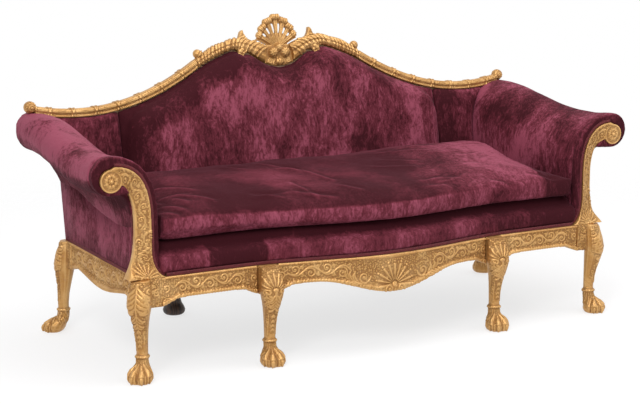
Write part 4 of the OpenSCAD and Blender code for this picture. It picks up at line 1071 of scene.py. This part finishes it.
def shaft_strokes(corner):
    """Foliage down the knee and shaft, over the distance round from the leg's front and the height."""
    if corner:
        out = spray(0, 0.325, DOWN, 0.1, 5, 0.0072, 0.0042, 0, 0.5)
        out += spray(0, 0.232, DOWN, 0.06, 4, 0.0056, 0.0034, 0, 0.5)
        for k in (-1, 1):
            out += spray(k * 0.012, 0.3, DOWN + k * 0.42, 0.075, 4, 0.006, 0.0036, -k * 0.016, 0.5)
            out += scroll(k * 0.031, 0.305, 0.0145, UP, k * -1.3, 0.004, 0.0036)
    else:
        out = fan(0, 0.262, 0.06, UP, 2.9, 9, 0.0037, 0.004)
        out += spray(0, 0.254, DOWN, 0.07, 5, 0.006, 0.0038, 0, 0.5)
        for k in (-1, 1):
            out += spray(k * 0.024, 0.262, DOWN - k * 0.05, 0.062, 4, 0.0048, 0.003, k * 0.008)
    for i, z in enumerate((0.176, 0.158, 0.142, 0.128)):
        w = 0.0046 - 0.0005 * i
        for k in (-1, 0, 1):
            out.append(vein([(0, z), (k * 0.0045, z - 0.007), (k * 0.0066, z - 0.016)],
                            (w * 0.5, w, 0.0008), 0.0026))
    out = filled(out, (-0.06, 0.13), (0.06, 0.332),
                 lambda x, z: z > 0.13 and abs(x) < (0.06 if z > 0.23 else 0.03), 0.0085, 6, 0.0018)
    for k in (-1, 1):
        out.append(vein([(k * 0.021, 0.2), (k * 0.0165, 0.15), (k * 0.0165, 0.104)],
                        (0.001, 0.0022, 0.0016), 0.0016))
    return out + [spot(i * 0.0075, 0.084, 0.0031, 0.0014) for i in range(-9, 10)]


def block_strokes():
    """A leaf and buds over the square block above a corner leg, across from its corner and up."""
    out = spray(0.01, 0.268, UP - 0.15, 0.056, 4, 0.0056, 0.0034, -0.006, 0.6)
    out += rosette(0.043, 0.318, 0.0125, 7, 0.003) + scroll(0.045, 0.288, 0.012, UP, 1.3, 0.0034, 0.003)
    return filled(out, (0.002, 0.246), (0.062, 0.333), lambda x, z: True, 0.0082, 8)


PAW, BLOCK = paw_strokes(), block_strokes()
SHAFT = {corner: shaft_strokes(corner) for corner in (True, False)}


def leg(name, foot, way, corner):
    """A paw leg whose front looks the given way; corner legs end in a square block with two flat faces."""
    right, front = (1 if at > 0 else -1 for at in foot)
    corner_at = (right * HALF_W, REAR_Y if front > 0 else FACE_Y)
    way = np.array(way, float) / np.linalg.norm(way)

    def charts(p, n):
        flat, z = p[:, :2] - np.array(foot), p[:, 2]
        ahead, aside = flat @ way, flat @ np.array((-way[1], way[0]))
        levels = np.linspace(0, RAIL_TOP, 40)
        which = np.clip(np.digitize(z, levels) - 1, 0, 38)
        mid = np.bincount(which, ahead, 39) / np.maximum(np.bincount(which, minlength=39), 1)
        mid = np.interp(z, (levels[:-1] + levels[1:]) / 2, mid)
        round_at = np.interp(z, (0.09, 0.14, 0.25, 0.337), (0.02, 0.021, 0.036, 0.038))
        looks = n[:, :2] @ way
        foliage = ramp(looks, -0.15, 0.4) * ramp(z, 0.092, 0.006) * ramp(z, RAIL_TOP - 0.001, -0.004)
        toes = ramp(z, 0.088, -0.004) * ramp(np.linalg.norm(n[:, :2], axis=1), 0.25, 0.3)
        out = [(np.stack([np.arctan2(aside, ahead + 0.014) * PAW_R, z], 1), toes, PAW, 0, 0)]
        if corner:
            # The flat faces of the block carry their own leaf, measured in from the outer corner
            for axis, along_axis, looks_out, inward in ((1, 0, front, right), (0, 1, right, front)):
                face = ramp(n[:, axis] * looks_out, 0.86, 0.1)
                face *= np.abs(p[:, axis] - corner_at[axis]) < 0.004
                uv = np.stack([(corner_at[along_axis] - p[:, along_axis]) * inward, z], 1)
                out.append((uv, face, BLOCK, face, 0.0006))
                foliage = foliage * (1 - face)
        out.append((np.stack([np.arctan2(aside, ahead - mid) * round_at, z], 1),
                    np.maximum(foliage, band(z, 0.0765, 0.0925, 0.002)), SHAFT[corner],
                    ramp(z, 0.125, 0.03) * (looks > 0.1), 0.0006))
        return out

    def sloped(o):
        """The flat top of the knee slopes down as it leaves the block behind it."""
        p = points(o)
        x, y, z = p.T
        if corner:
            past = np.hypot(np.maximum((y - corner_at[1]) * front, 0), np.maximum(np.abs(x) - HALF_W, 0))
        else:
            past = np.maximum(front_y(x) - y, 0)
        z -= (0.003 if corner else 0.009) * ramp(past, 0, 0.03) * ramp(z, RAIL_TOP - 0.055, 0.05)
        set_points(o, p)

    sharp = [(0, foot[0] + k * POST_W / 2) for k in (-1, 1)]
    if corner:
        sharp = [(0, corner_at[0] - right * POST_W), (1, corner_at[1] - front * POST_W)]
    carve(f"{name}_leg", f"{name}_paw_leg", 0.0019, charts, joints=sharp + [(2, RAIL_TOP)], shape=sloped)


for side, way in SIDES:
    leg(f"front_{side}", (way * 0.919, -0.382), (way, -1), True)
    leg(f"inner_{side}", (way * INNER_LEG_X, -0.417), (0, -1), False)
    leg(f"back_{side}", (way * 0.933, 0.357), (way, 1), True)
    plain = meshed(copied(f"plain_{side}_leg", f"plain_{side}_back_leg"), 0.0035)
    set_points(plain, faired(plain, 3))
    finished(plain, f"plain_{side}_leg", stained)


# Arm facings

def facing_edges():
    """Inner and outer edge of the right facing, as points across and up."""
    w, r, z0, x = FACING_W, SCROLL_R, RAIL_TOP, WAIST_X
    inner = np.concatenate([
        curve((x - 0.93 * w, z0), (x - 0.35 * w, z0 + 0.2 * w), (x, z0 + 0.9 * w), (x, z0 + 2.1 * w), 14),
        curve((x, EYE_Z - 3.57 * r), (x, EYE_Z - 0.6 * r), (x + 0.85 * w, EYE_Z + 1.2 * r),
              (EYE_X - 0.33 * r, EYE_Z + 1.2 * r), 30)])
    outer = np.concatenate([
        curve((x + 1.75 * w, z0), (x + 1.33 * w, z0 + 0.8 * w), (x + 1.03 * w, z0 + 1.5 * w),
              (x + w, z0 + 3 * w), 14),
        curve((x + w, EYE_Z - 3.6 * r), (x + w, EYE_Z - 1.95 * r), (x + 1.48 * w, EYE_Z - 0.6 * r),
              (EYE_X - 0.92 * r, EYE_Z - 0.38 * r), 30)])
    return inner, outer


INNER, OUTER = facing_edges()
MIDDLE, FACING_HALF = (INNER + OUTER) / 2, np.linalg.norm(OUTER - INNER, axis=1) / 2
FACING_RUN, ACROSS = along(MIDDLE), (OUTER - INNER) / (2 * FACING_HALF)[:, None]


def facing_half(s):
    """Half width of a facing at a distance up its middle."""
    return float(np.interp(s, FACING_RUN, FACING_HALF))


upright_vine = vine(0.045, FACING_RUN[-1] - 0.008, 0.04, lambda s: (0.0, 0.68 * facing_half(s)),
                    0.0034, 0.0031)
upright_vine += fan(0.004, 0, 0.042, 0, 2.9, 9, 0.0032, 0.0032)
upright_vine = filled(upright_vine, (0.002, -0.05), (FACING_RUN[-1], 0.05),
                      lambda s, off: abs(off) < 0.66 * facing_half(s), 0.0078, 9, 0.0018)
eye = rosette(0, 0, 0.026, 8, 0.0022, math.pi / 8)
eye += [spot(*(heading(a) * 0.0275), 0.0019, 0.0018) for a in round_the_circle(32)]


def flared(o):
    """The foot of a facing sweeps forward to the face of the rail."""
    p = points(o)
    front = faces(normals(o), (0, -1, 0), 0.1, 0.5)
    p[:, 1] += (FACE_Y + 0.0006 - p[:, 1]) * (1 - ramp(p[:, 2], RAIL_TOP, 0.055)) ** 1.5 * front
    set_points(o, p)


def facing_charts(way):
    def charts(p, n):
        q = np.stack([p[:, 0] * way, p[:, 2]], 1)
        which = np.linalg.norm(q[:, None] - MIDDLE, axis=2).argmin(1)
        d, c = q - MIDDLE[which], ACROSS[which]
        off = (d * c).sum(1)
        uv = np.stack([FACING_RUN[which] + d[:, 1] * c[:, 0] - d[:, 0] * c[:, 1], off], 1)
        from_eye = q - np.array((EYE_X, EYE_Z))
        in_eye = np.linalg.norm(from_eye, axis=1) < SCROLL_R
        front = faces(n, (0, -1, 0), 0.25, 0.6)
        field = ramp(np.abs(off) / FACING_HALF[which], 0.72, -0.05)
        return [(uv, front * ~in_eye, upright_vine, field, 0.0006),
                (from_eye, front * in_eye, eye, 1, 0.0004)]
    return charts


for side, way in SIDES:
    carve(f"{side}_arm_facing", f"{side}_facing_carved", 0.0018, facing_charts(way), 2,
          [(2, RAIL_TOP), (1, FACING_Y + FACING_T)], flared)


# Crest: bound reeds, acanthus scrolls and the pierced shell

path_x = np.linspace(0, 1.02, 400)
path_run = along(np.stack([path_x, crest_h(path_x)], 1))


def run_at(x):
    """Distance along the crest's path from the middle."""
    return np.interp(x, path_x, path_run)


def crest_uv(p, way):
    """Distance along the crest's path, and distance across it."""
    x = p[:, 0] * way
    slope = (crest_h(x + 0.008) - crest_h(x - 0.008)) / 0.016
    off = (up_the_back(p)[1] - crest_h(x)) / np.sqrt(1 + slope ** 2)
    return np.stack([run_at(x + off * slope / np.sqrt(1 + slope ** 2)), off], 1)


reeds = [vein([(run_at(x), v) for x in np.linspace(0.345, 0.978, 60)], w, 0.0013)
         for v, w in ((0.0125, 0.0021), (0.0075, 0.0023), (0.002, 0.0024), (-0.0035, 0.0022))]
reeds += [spot(run_at(x), -0.0128, 0.0021, 0.0013) for x in np.arange(0.35, 0.978, 0.007)]
first, last = 0.3423, 0.9778
for i in range(1, 8):
    s = run_at(first + (i - 0.25) * (last - first) / 7.35)
    reeds.append(spot(s, 0.001, 0.0056, 0.0052))
    for k in (-1, 1):
        reeds.append(vein([(s - 0.0065, -k * 0.015), (s, 0.0), (s + 0.0065, k * 0.015)],
                          (0.0028, 0.0036, 0.0028), 0.004))
        reeds += spray(s + k * 0.009, 0.002, UP * (1 - k), 0.021, 3, 0.003, 0.0024, 0, 0.5)

ball = scroll(0, 0, 0.0165, 2.2, 1.6, 0.0034, 0.0024)
ball += [vein([heading(a) * 0.0205, heading(a + 0.3) * 0.0165], (0.0016, 0.0024, 0.0012), 0.0014)
         for a in round_the_circle(12)]

leaves, pick = [], random.Random(17)
leaf_at, leaf_end = run_at(0.05), run_at(0.318)
while leaf_at < leaf_end:
    deep = float(np.interp(leaf_at, (run_at(0.06), leaf_end), (0.034, 0.017)))
    long, high = pick.uniform(0.85, 1.15), pick.uniform(0.0036, 0.0058)
    tip = leaf_at + 0.036 * long
    leaf = curve((leaf_at, 0.027), (leaf_at + 0.016, 0.023), (tip - 0.001, 0.006), (tip, -deep), 11)
    leaves.append(vein(leaf, (0.0022, 0.0053, 0.0032), high))
    leaves.append(vein(leaf[1:-1], (0.0007, 0.0013, 0.0009), -0.0019))
    leaves.append(spot(tip + 0.001, 0.003 - deep, pick.uniform(0.0042, 0.0062), high + 0.0012))
    leaf_at += pick.uniform(0.0125, 0.017)
leaves += scroll(run_at(0.157), -0.027, 0.0125, UP, 1.3, 0.0036, 0.0036)
s = run_at(0.142)
for k in (-0.8, 0, 0.8):
    leaves.append(vein([(s + 0.01 * k, 0.02), (s + 0.0045 * k, 0.034), (s + 0.001, 0.052)],
                       (0.002, 0.0026, 0.001), 0.002))

SHELL_H, REACH, RIB_TURN = 0.6396, 0.127, math.radians(18.5)
RIB_SHARES = (1, 0.93, 0.85, 0.79)
shell = rosette(0, 0, 0.0135, 7, 0.002)
for i in range(-3, 4):
    reach, a = RIB_SHARES[abs(i)] * REACH, i * RIB_TURN
    d, s = heading(UP - a), heading(-a)
    e, f = heading(UP - a - RIB_TURN / 2) * reach, heading(-a - RIB_TURN / 2) * 0.0062
    for k in (-1, 1):
        shell.append(vein([d * 0.016 + s * k * 0.0022, d * reach * 0.6 + s * k * 0.0045,
                           d * reach * 0.82 + s * k * 0.008], (0.0014, 0.0022, 0.0026), 0.0016))
        if i < 3:
            shell.append(vein([e * 0.36, e * 0.5 + f * k, e * 0.68 + f * k, e * 0.8],
                              (0.001, 0.0016, 0.001), 0.0014))
    shell.append(vein([d * 0.016, d * reach * 0.8], (0.0012, 0.0018, 0.0024), -0.0022))
    for k in np.linspace(-1, 1, 4):
        shell.append(vein([d * (reach - 0.021) + s * k * 0.011, d * (reach - 0.002) + s * k * 0.013],
                          (0.0026, 0.0032, 0.0022), 0.002))
for k in (-1, 1):
    shell += rosette(k * 0.0254, -0.0178, 0.019, 9, 0.0026)
    shell += scroll(k * 0.036, -0.05, 0.012, UP, -k * 1.2, 0.003, 0.003)
    for i in range(4):
        x = k * (0.013 + 0.012 * i)
        shell.append(vein([(x * 0.5, -0.034), (x * 0.9, -0.05), (x * 1.05, -0.066 + 0.004 * i)],
                          (0.002, 0.0038, 0.0016), 0.003))
for k in (-1, 0, 1):
    shell.append(vein([(k * 0.003, -0.042), (k * 0.0085, -0.053), (k * 0.003, -0.066)],
                      (0.0014, 0.0024, 0.0014), 0.0018))


def opened(o):
    """The slots of the shell are cut wider and its web thinner, so that daylight shows through them."""
    p = points(o)
    depth, h = up_the_back(p)
    x, z = p[:, 0], h - SHELL_H
    far, turn = np.hypot(x, z), np.arctan2(x, z)
    share = far / (REACH * np.interp(np.abs(turn) / RIB_TURN, (0, 1, 2, 3), RIB_SHARES))
    off = (turn - (np.floor(turn / RIB_TURN) + 0.5) * RIB_TURN) * far
    inside = ramp(share, 0.34, 0.1) * ramp(share, 0.84, -0.08) * (np.abs(turn) < math.radians(58))
    a = turn + np.sign(off) * 0.0026 * bell(off, 0, 0.0075) * inside / np.maximum(far, 1e-6)
    rise = far * np.cos(a) - z
    thin = 0.72 * ramp(z, 0.022, 0.01) * ramp(share, 0.83, -0.05)
    p[:, 0] = far * np.sin(a)
    p[:, 1] += rise * math.sin(LEAN)
    p[:, 2] += rise * math.cos(LEAN)
    thin *= np.maximum(depth - 0.004, 0)
    p[:, 1] -= thin * math.cos(LEAN)
    p[:, 2] += thin * math.sin(LEAN)
    set_points(o, p)


def shell_charts(p, n):
    h = up_the_back(p)[1] - SHELL_H
    return [(np.stack([p[:, 0], h], 1), faces(n, (0, -1, 0.19), 0.1, 0.5), shell,
             ramp(h, 0.02, -0.02), 0.0004)]


def reed_charts(way):
    def charts(p, n):
        front = faces(n, (0, -0.7, 0.7), -0.05, 0.25)
        end_ball = (np.abs(p[:, 0]) > 0.969).astype(float)
        place = np.stack([p[:, 0] * way, up_the_back(p)[1]], 1)
        middle = place[end_ball > 0].mean(0)
        return [(crest_uv(p, way), front * ramp(p[:, 0] * way, 0.966, -0.006), reeds, 0, 0),
                (place - middle, front * end_ball, ball, end_ball, 0.0003)]
    return charts


def leaf_charts(way):
    return lambda p, n: [(crest_uv(p, way), faces(n, (0, -1, 0.3), 0.05, 0.45), leaves, 1, 0.0008)]


carve("crest_shell", "crest_scallop_shell", 0.0018, shell_charts, 2, shape=opened)
for side, way in SIDES:
    carve(f"{side}_reeded_rail", f"{side}_bound_reeds", 0.0018, reed_charts(way), 2)
    carve(f"{side}_leaf_scroll", f"{side}_acanthus_scroll", 0.0018, leaf_charts(way), 2)


# Curls that hang from the acanthus beside the shell: x, height over the crest's path and radius of balls

CURL_BALLS = ((0.155, -0.022, 0.0105), (0.163, -0.03, 0.0108), (0.167, -0.039, 0.0088),
              (0.161, -0.046, 0.0072), (0.153, -0.045, 0.0058), (0.149, -0.034, 0.007))

for side, way in SIDES:
    p = points(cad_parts[f"{side}_leaf_scroll"])
    d = up_the_back(p)[0][np.abs(np.abs(p[:, 0]) - 0.158) < 0.02].min() + 0.008
    made = []
    for x, down, r in CURL_BALLS:
        h = float(crest_h(x)) + down
        bpy.ops.mesh.primitive_uv_sphere_add(segments=20, ring_count=12, radius=r, location=(
            way * x, SLAB_Y + d * math.cos(LEAN) + h * math.sin(LEAN),
            RAIL_TOP - d * math.sin(LEAN) + h * math.cos(LEAN)))
        made.append(bpy.context.object)
    for o in made:
        o.select_set(True)
    bpy.context.view_layer.objects.active = made[0]
    bpy.ops.object.join()
    bpy.ops.object.transform_apply(location=True, rotation=True, scale=True)
    curl = meshed(bpy.context.object, 0.0011)
    curl.name = curl.data.name = f"{side}_hanging_curl"
    set_points(curl, faired(curl, 2))
    weathered(curl, 0, 0)
    finished(curl, None, gilt)


# Beads and braid: small repeated shapes, each set of them one piece

def mesh_piece(name, vertices, loops):
    mesh = bpy.data.meshes.new(name)
    mesh.from_pydata([tuple(map(float, v)) for v in vertices], [], [tuple(map(int, f)) for f in loops])
    mesh.update()
    return linked(name, mesh)


def spaced(line, pitch, beside=None):
    """Points evenly along a line, or what stands beside the line at those points."""
    line = np.array(line, float)
    run = along(line)
    s = np.linspace(0, run[-1], max(2, round(run[-1] / pitch)) + 1)
    told = line if beside is None else beside
    return np.stack([np.interp(s, run, told[:, k]) for k in range(3)], 1)


def beads(name, line):
    """A row of pearls half let into the wood."""
    r = 0.0026
    places = spaced(line, 0.0066)
    bpy.ops.mesh.primitive_uv_sphere_add(segments=10, ring_count=7, radius=r)
    pearl = bpy.context.object
    base, loops = points(pearl), [tuple(f.vertices) for f in pearl.data.polygons]
    bpy.data.objects.remove(pearl, do_unlink=True)
    o = mesh_piece(name, (places[:, None] + base).reshape(-1, 3),
                   [tuple(v + i * len(base) for v in loop) for i in range(len(places)) for loop in loops])
    # Relief rises from each pearl's underside to its top, which paints it paler on top as painted light and
    # darker underneath as painted shade.
    set_attribute(o, "relief", np.tile(0.62 + 0.2 * np.clip(base[:, 2] / r, -1, 1), len(places)))
    finished(o, None, gilt)


BEAD_Z = RAIL_TOP - 0.0052
beads("front_bead_row", [(x, front_y(x) + 0.0006, BEAD_Z) for x in np.linspace(-0.826, 0.826, 200)])
for side, way in SIDES:
    beads(f"{side}_bead_row", [(way * (HALF_W - 0.0006), y, BEAD_Z)
                               for y in (FACE_Y + POST_W + 0.01, REAR_Y - POST_W - 0.01)])


def braided(name, line, out, up, half, node=None):
    """A flat braid of three strands sewn along a line; out is the way it faces and up runs across it."""
    pitch, wide = 0.011, 10
    out, up = np.array(out, float), np.broadcast_to(np.array(up, float), line.shape)
    at, up = spaced(line, 0.0011), spaced(line, 0.0011, up)
    n, run, c = len(at), along(at), np.linspace(-1, 1, wide)
    rise = np.zeros((n, wide))
    for strand in range(3):
        phase = 2 * math.pi * (run / pitch + strand / 3)[:, None]
        x = (c - 0.58 * np.sin(phase)) / 0.46
        rise = np.maximum(rise, np.sqrt(np.maximum(0, 1 - x * x)) * (0.75 + 0.25 * np.cos(2 * phase)))
    edge = 1 + 0.06 * np.sin(2 * math.pi * run / pitch * 3)[:, None]
    flat = at[:, None] + up[:, None] * (c * half * edge)[..., None]
    front, back = flat + out * (0.0016 * rise + 0.0004)[..., None], flat - out * 0.0003
    k = 2 * wide
    i, j = np.meshgrid(np.arange(n - 1), np.arange(k), indexing="ij")
    quads = np.stack([i * k + j, i * k + (j + 1) % k, (i + 1) * k + (j + 1) % k, (i + 1) * k + j], -1)
    caps = [range(k)[::-1], range((n - 1) * k, n * k)]
    around = np.concatenate([front, back[:, ::-1]], 1).reshape(-1, 3)
    o = mesh_piece(name, around, [*quads.reshape(-1, 4), *caps])
    cleaned(o.data)
    finished(o, node, braid)


def unit_steps(line):
    step = np.gradient(line, axis=0)
    return (step / np.linalg.norm(step, axis=1)[:, None]).T


# Gimp along the tops of the rails, and up both edges of each facing

GIMP_Z = RAIL_TOP + 0.0063
x = np.linspace(-(WAIST_X - FACING_W), WAIST_X - FACING_W, 160)
path = np.stack([x, front_y(x) + 0.0078, np.full(len(x), GIMP_Z)], 1)
braided("front_rail_gimp", path, (0, -1, 0), (0, 0, 1), 0.0058, "rail_gimp")
for side, way in SIDES:
    # Along the side rail and, round a soft corner, up the back of the facing
    y0, y1, turn_r = FACING_Y + FACING_T + 0.0068, REAR_Y - 0.036, 0.022
    flat = [(y0, z) for z in np.linspace(0.57, GIMP_Z + turn_r, 20)]
    flat += [(y0 + turn_r, GIMP_Z + turn_r) - heading(a) * turn_r for a in np.linspace(0.15, UP, 9)]
    flat += [(y, GIMP_Z) for y in np.linspace(y0 + turn_r + 0.01, y1, 40)]
    y, z = np.array(flat).T
    path = np.stack([way * (HALF_W + 0.0128 - 0.019 * (y - y0) / (y1 - y0)), y, z], 1)
    dy, dz = unit_steps(path[:, 1:])
    braided(f"{side}_side_gimp", path, (way, 0, 0), np.stack([0 * dy, -dz, dy], 1), 0.0055)
    # Up the inner edge of the facing, on the velvet border
    dx, dz = unit_steps(INNER)
    x, z = INNER[:, 0] - 0.006 * dz, INNER[:, 1] + 0.006 * dx
    path, up = np.stack([way * x, 0 * x + FACING_Y + 0.0076, z], 1), np.stack([-way * dz, 0 * dz, dx], 1)
    keep = z > RAIL_TOP + 0.005
    braided(f"{side}_facing_gimp", path[keep], (0, -1, 0), up[keep], 0.0052)


# CAD pieces that stay as they are get their wood

for material, nodes in (
        (stained_long, ["back_seat_rail"]), (beech_long, ["back_low_rail", "back_top_rail"]),
        (beech, ["corner_blocks", "left_back_post", "right_back_post", "back_uprights"]),
        (beech_deep, [f"{side}_{rail}_rail" for side, _ in SIDES for rail in ("cross", "arm_top", "arm_low")])):
    for node in nodes:
        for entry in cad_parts[node].material_slots:
            entry.material = material


# Camera, light and floor

def aimed(o, place, aim):
    o.location = place
    o.rotation_euler = (Vector(aim) - Vector(place)).to_track_quat("-Z", "Y").to_euler()


def camera():
    data = bpy.data.cameras.new("studio_camera")
    data.lens, data.sensor_width = 96.18, 36
    scene.camera = linked("studio_camera", data)
    aimed(scene.camera, (-3.0237, -5.2665, 1.6174), (0.0192, 0.1019, 0.4212))


def lamp(name, place, aim, size, power):
    data = bpy.data.lights.new(name, "AREA")
    data.shape, data.size, data.size_y, data.energy = "RECTANGLE", *size, power
    aimed(linked(name, data), place, aim)


def seen_ray(tree):
    """1 for rays from the camera, from gloss and through clear things."""
    path = tree.nodes.new("ShaderNodeLightPath").outputs
    of_camera, of_gloss, through = (Signal(tree, path[f"Is {kind} Ray"])
                                    for kind in ("Camera", "Glossy", "Transmission"))
    return of_camera.worked("MAXIMUM", of_gloss).worked("MAXIMUM", through)


def either(factor, a, b):
    return put(factor.tree, "MixShader", {0: factor, 1: a, 2: b})


def studio():
    """A pale floor that fades out into an even white world, which the object sees dimmer than the camera."""
    bpy.ops.mesh.primitive_plane_add(size=24, location=(0, 0, 0))
    floor = bpy.context.object
    floor.name = "studio_floor"
    material = bpy.data.materials.new("pale_floor")
    tree, surface = emptied(material, "Material")
    skin = put(tree, "BsdfPrincipled", {"Base Color": rgb(0.28, 0.28, 0.283), "Roughness": 0.9,
                                        "Emission Color": rgb(1, 1, 1), "Emission Strength": 0.7})
    bounce = put(tree, "BsdfDiffuse", {"Color": rgb(0.8, 0.8, 0.8)})
    far = put(tree, "VectorMath", {0: put(tree, "TexCoord", {}, "Object")}, "Value", operation="LENGTH")
    shown = either(seen_ray(tree), bounce, skin)
    tree.links.new(either(ranged(far, 1.9, 3.6), shown, put(tree, "BsdfTransparent", {})).socket, surface)
    floor.data.materials.append(material)
    floor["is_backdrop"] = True
    scene.world = bpy.data.worlds.new("studio_world")
    tree, surface = emptied(scene.world, "World")
    lit, shown = (put(tree, "Background", {"Color": rgb(1, 1, 1), "Strength": strength})
                  for strength in (0.62, 1.0))
    tree.links.new(either(seen_ray(tree), lit, shown).socket, surface)
    lamp("key_softbox", (-3.2, -3.4, 3.6), (0, 0, 0.45), (1.8, 1.8), 130)
    lamp("top_softbox", (0.6, -0.6, 3.6), (0, 0, 0.4), (3.0, 2.0), 60)
    lamp("right_fill", (3.6, -3.0, 1.6), (0, 0, 0.5), (2.0, 1.6), 22)
    scene.view_settings.view_transform = "Standard"


camera()
studio()

low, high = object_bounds()
